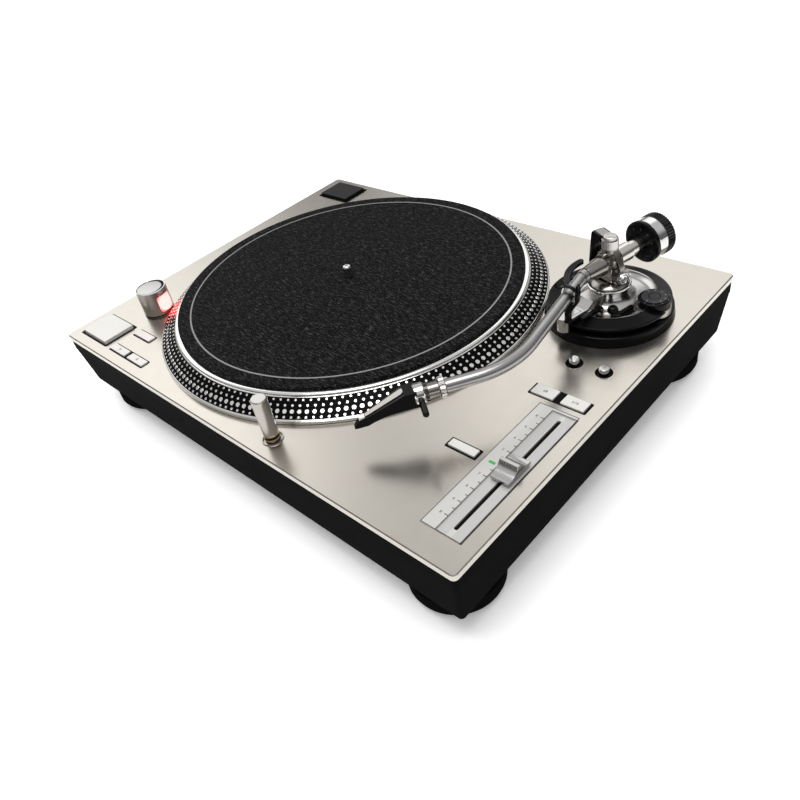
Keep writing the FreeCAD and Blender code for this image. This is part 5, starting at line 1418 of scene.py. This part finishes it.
@dataclass
class Studio:
    """The floor, the lamps, the world and the camera.

    Attributes:
        eye: The camera's place in millimetres.
        ahead: The direction that it looks in.
        right: What it has at its right.
        down: What it has below.
        focal: Its focal length in pixels of the picture.
        picture: The picture's width in pixels.
        sensor: The width of its sensor in millimetres.
        floor_half: Half of the floor's side in metres.
        paper: How bright the floor's paper is, where 1 is white.
        floor_glow: How bright the floor shows by itself, to the camera and in reflections.
        room_span: The heights between which the room grows lighter, as parts of a unit direction.
        room_light: How bright the room is below and above them.
        softboxes: Each patch of light in the room: its azimuth, its elevation, the radius of its full light
            and the radius where it ends, all in degrees, and its strength.
    """

    eye: Place = (401.41, -331.79, 401.38)
    ahead: Place = (-0.5915, 0.4971, -0.6348)
    right: Place = (0.7300, 0.6645, -0.1599)
    down: Place = (0.3424, -0.5580, -0.7559)
    focal: float = 727.6
    picture: float = 800.0
    sensor: float = 36.0
    floor_half: float = 8.0
    paper: float = 1.15
    floor_glow: float = 0.2
    room_span: Point = (0.26, 0.67)
    room_light: Point = (0.15, 0.65)
    softboxes: tuple[tuple[float, float, float, float, float], ...] = (
        (172, 30, 12, 28, 1.3), (112, 32, 12, 28, 0.95),
    )

    def camera(self) -> None:
        """Makes the camera at the photograph's place and angle."""
        data = bpy.data.cameras.new("camera")
        data.sensor_width = self.sensor
        data.lens = self.focal / self.picture * self.sensor
        data.clip_start, data.clip_end = 0.01, 50
        camera = bpy.data.objects.new("camera", data)
        axes = (Vector(self.right), -Vector(self.down), -Vector(self.ahead))
        matrix = Matrix([axis.normalized() for axis in axes]).transposed().to_4x4()
        camera.matrix_world = Matrix.Translation(Vector(self.eye) * MM) @ matrix
        bpy.context.scene.collection.objects.link(camera)
        bpy.context.scene.camera = camera

    def floor(self) -> None:
        """Makes the pale floor, which is white where the light reaches it."""
        mesh = bpy.data.meshes.new("floor")
        side = self.floor_half
        corners = [(-side, -side, 0), (side, -side, 0), (side, side, 0), (-side, side, 0)]
        mesh.from_pydata(corners, [], [(0, 1, 2, 3)])
        floor = bpy.data.objects.new("floor", mesh)
        bpy.context.scene.collection.objects.link(floor)
        material = bpy.data.materials.new("studio_paper")
        material.use_nodes = True
        tree = material.node_tree
        tree.nodes.clear()
        path = add(tree, "ShaderNodeLightPath")
        rays = {0: path.outputs["Is Camera Ray"], 1: path.outputs["Is Glossy Ray"]}
        seen = add(tree, "ShaderNodeMath", {"operation": "MAXIMUM"}, rays).outputs[0]
        shown = {0: seen, 1: self.floor_glow}
        strength = add(tree, "ShaderNodeMath", {"operation": "MULTIPLY"}, shown).outputs[0]
        # Paper a little brighter than white, with a weak glow of its own, shows as white under this lamp.
        # The object's shadow on it stays dark near the object and ends soon.
        paper = add(tree, "ShaderNodeBsdfDiffuse", None, {"Color": (self.paper, self.paper, self.paper, 1.0)})
        glow = add(tree, "ShaderNodeEmission", None, {"Strength": strength})
        both = add(tree, "ShaderNodeAddShader", None, {0: paper.outputs[0], 1: glow.outputs[0]})
        add(tree, "ShaderNodeOutputMaterial", None, {"Surface": both.outputs[0]})
        mesh.materials.append(material)

    def lamp(
        self, name: str, place: Place, target: Place, size: Point, power: float, colour: str = "FFFFFF",
    ) -> None:
        """Makes a soft box that the camera doesn't see.

        Args:
            name: The lamp's name.
            place: Where it hangs, in metres.
            target: Where it points.
            size: Its width and height in metres.
            power: Its power in watts.
            colour: Its sRGB colour.
        """
        data = bpy.data.lights.new(name, "AREA")
        data.shape, data.size, data.size_y, data.energy = "RECTANGLE", size[0], size[1], power
        data.color = linear(colour)[:3]
        lamp = bpy.data.objects.new(name, data)
        lamp.location = Vector(place)
        lamp.rotation_euler = (Vector(target) - Vector(place)).to_track_quat("-Z", "Y").to_euler()
        lamp.visible_camera = False
        bpy.context.scene.collection.objects.link(lamp)

    def world(self) -> None:
        """Makes the white room, which metal sees brighter on the left and behind, and darker between."""
        world = bpy.data.worlds.new("room")
        bpy.context.scene.world = world
        world.use_nodes = True
        tree = world.node_tree
        tree.nodes.clear()
        toward = add(tree, "ShaderNodeTexCoord").outputs["Generated"]
        height = add(tree, "ShaderNodeSeparateXYZ", None, {0: toward}).outputs["Z"]
        (first, last), (dim, bright) = self.room_span, self.room_light
        rise = {0: height, 1: first, 2: last, 3: dim, 4: bright}
        level = add(tree, "ShaderNodeMapRange", {"interpolation_type": "SMOOTHSTEP"}, rise).outputs[0]
        for azimuth, elevation, full, end, amount in self.softboxes:
            across, up = math.radians(azimuth), math.radians(elevation)
            aim = (math.cos(up) * math.cos(across), math.cos(up) * math.sin(across), math.sin(up))
            facing = {0: toward, 1: aim}
            near = add(tree, "ShaderNodeVectorMath", {"operation": "DOT_PRODUCT"}, facing).outputs["Value"]
            outer, inner = math.cos(math.radians(end)), math.cos(math.radians(full))
            soft = {0: near, 1: outer, 2: inner, 3: 0.0, 4: amount}
            patch = add(tree, "ShaderNodeMapRange", {"interpolation_type": "SMOOTHSTEP"}, soft).outputs[0]
            level = add(tree, "ShaderNodeMath", {"operation": "ADD"}, {0: level, 1: patch}).outputs[0]
        room = add(tree, "ShaderNodeBackground", None, {"Color": WHITE, "Strength": level})
        white = add(tree, "ShaderNodeBackground", None, {"Color": WHITE, "Strength": 1.0})
        seen = add(tree, "ShaderNodeLightPath").outputs["Is Camera Ray"]
        mixed = add(tree, "ShaderNodeMixShader", None, {0: seen, 1: room.outputs[0], 2: white.outputs[0]})
        add(tree, "ShaderNodeOutputWorld", None, {"Surface": mixed.outputs[0]})

    def build(self) -> None:
        """Makes the whole studio."""
        bpy.context.scene.view_settings.view_transform = "Standard"
        self.camera()
        self.floor()
        self.world()
        # It hangs a little to the front right, where the plate doesn't mirror it towards the camera.
        self.lamp("overhead", (0.2, -0.3, 1.5), (0, 0, 0), (1.0, 0.8), 12)
        # The red light that the strobe window throws on the platter's edge and on the plate.
        window, edge = (-0.1618, -0.0982, 0.0885), (-0.15, -0.095, 0.08)
        self.lamp("strobe_glow", window, edge, (0.006, 0.012), 0.03, "FF1410")


def dress(nodes: dict[str, bpy.types.Object]) -> None:
    """Gives each CAD node its finish.

    Args:
        nodes: The objects of the CAD model, by name.
    """
    for finish, names in NODE_FINISHES.items():
        for name in names:
            materials = nodes[name].data.materials
            materials.clear()
            materials.append(finish.material())
        LOG.info("dressed %d nodes in %s", len(names), finish.name)


def main(model: dict) -> None:
    """Builds the studio and every piece, in order.
    """
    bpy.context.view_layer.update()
    Studio().build()
    dress(model["nodes"])
    for assembly in (Platter(), Controls(), Tower(), Light(), ArmBase(), Gimbal(), Arm()):
        assembly.build()
        LOG.info("built %s", type(assembly).__name__)


if __name__ == "__main__":
    logging.basicConfig(level=logging.INFO)
    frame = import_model()
    main(frame)
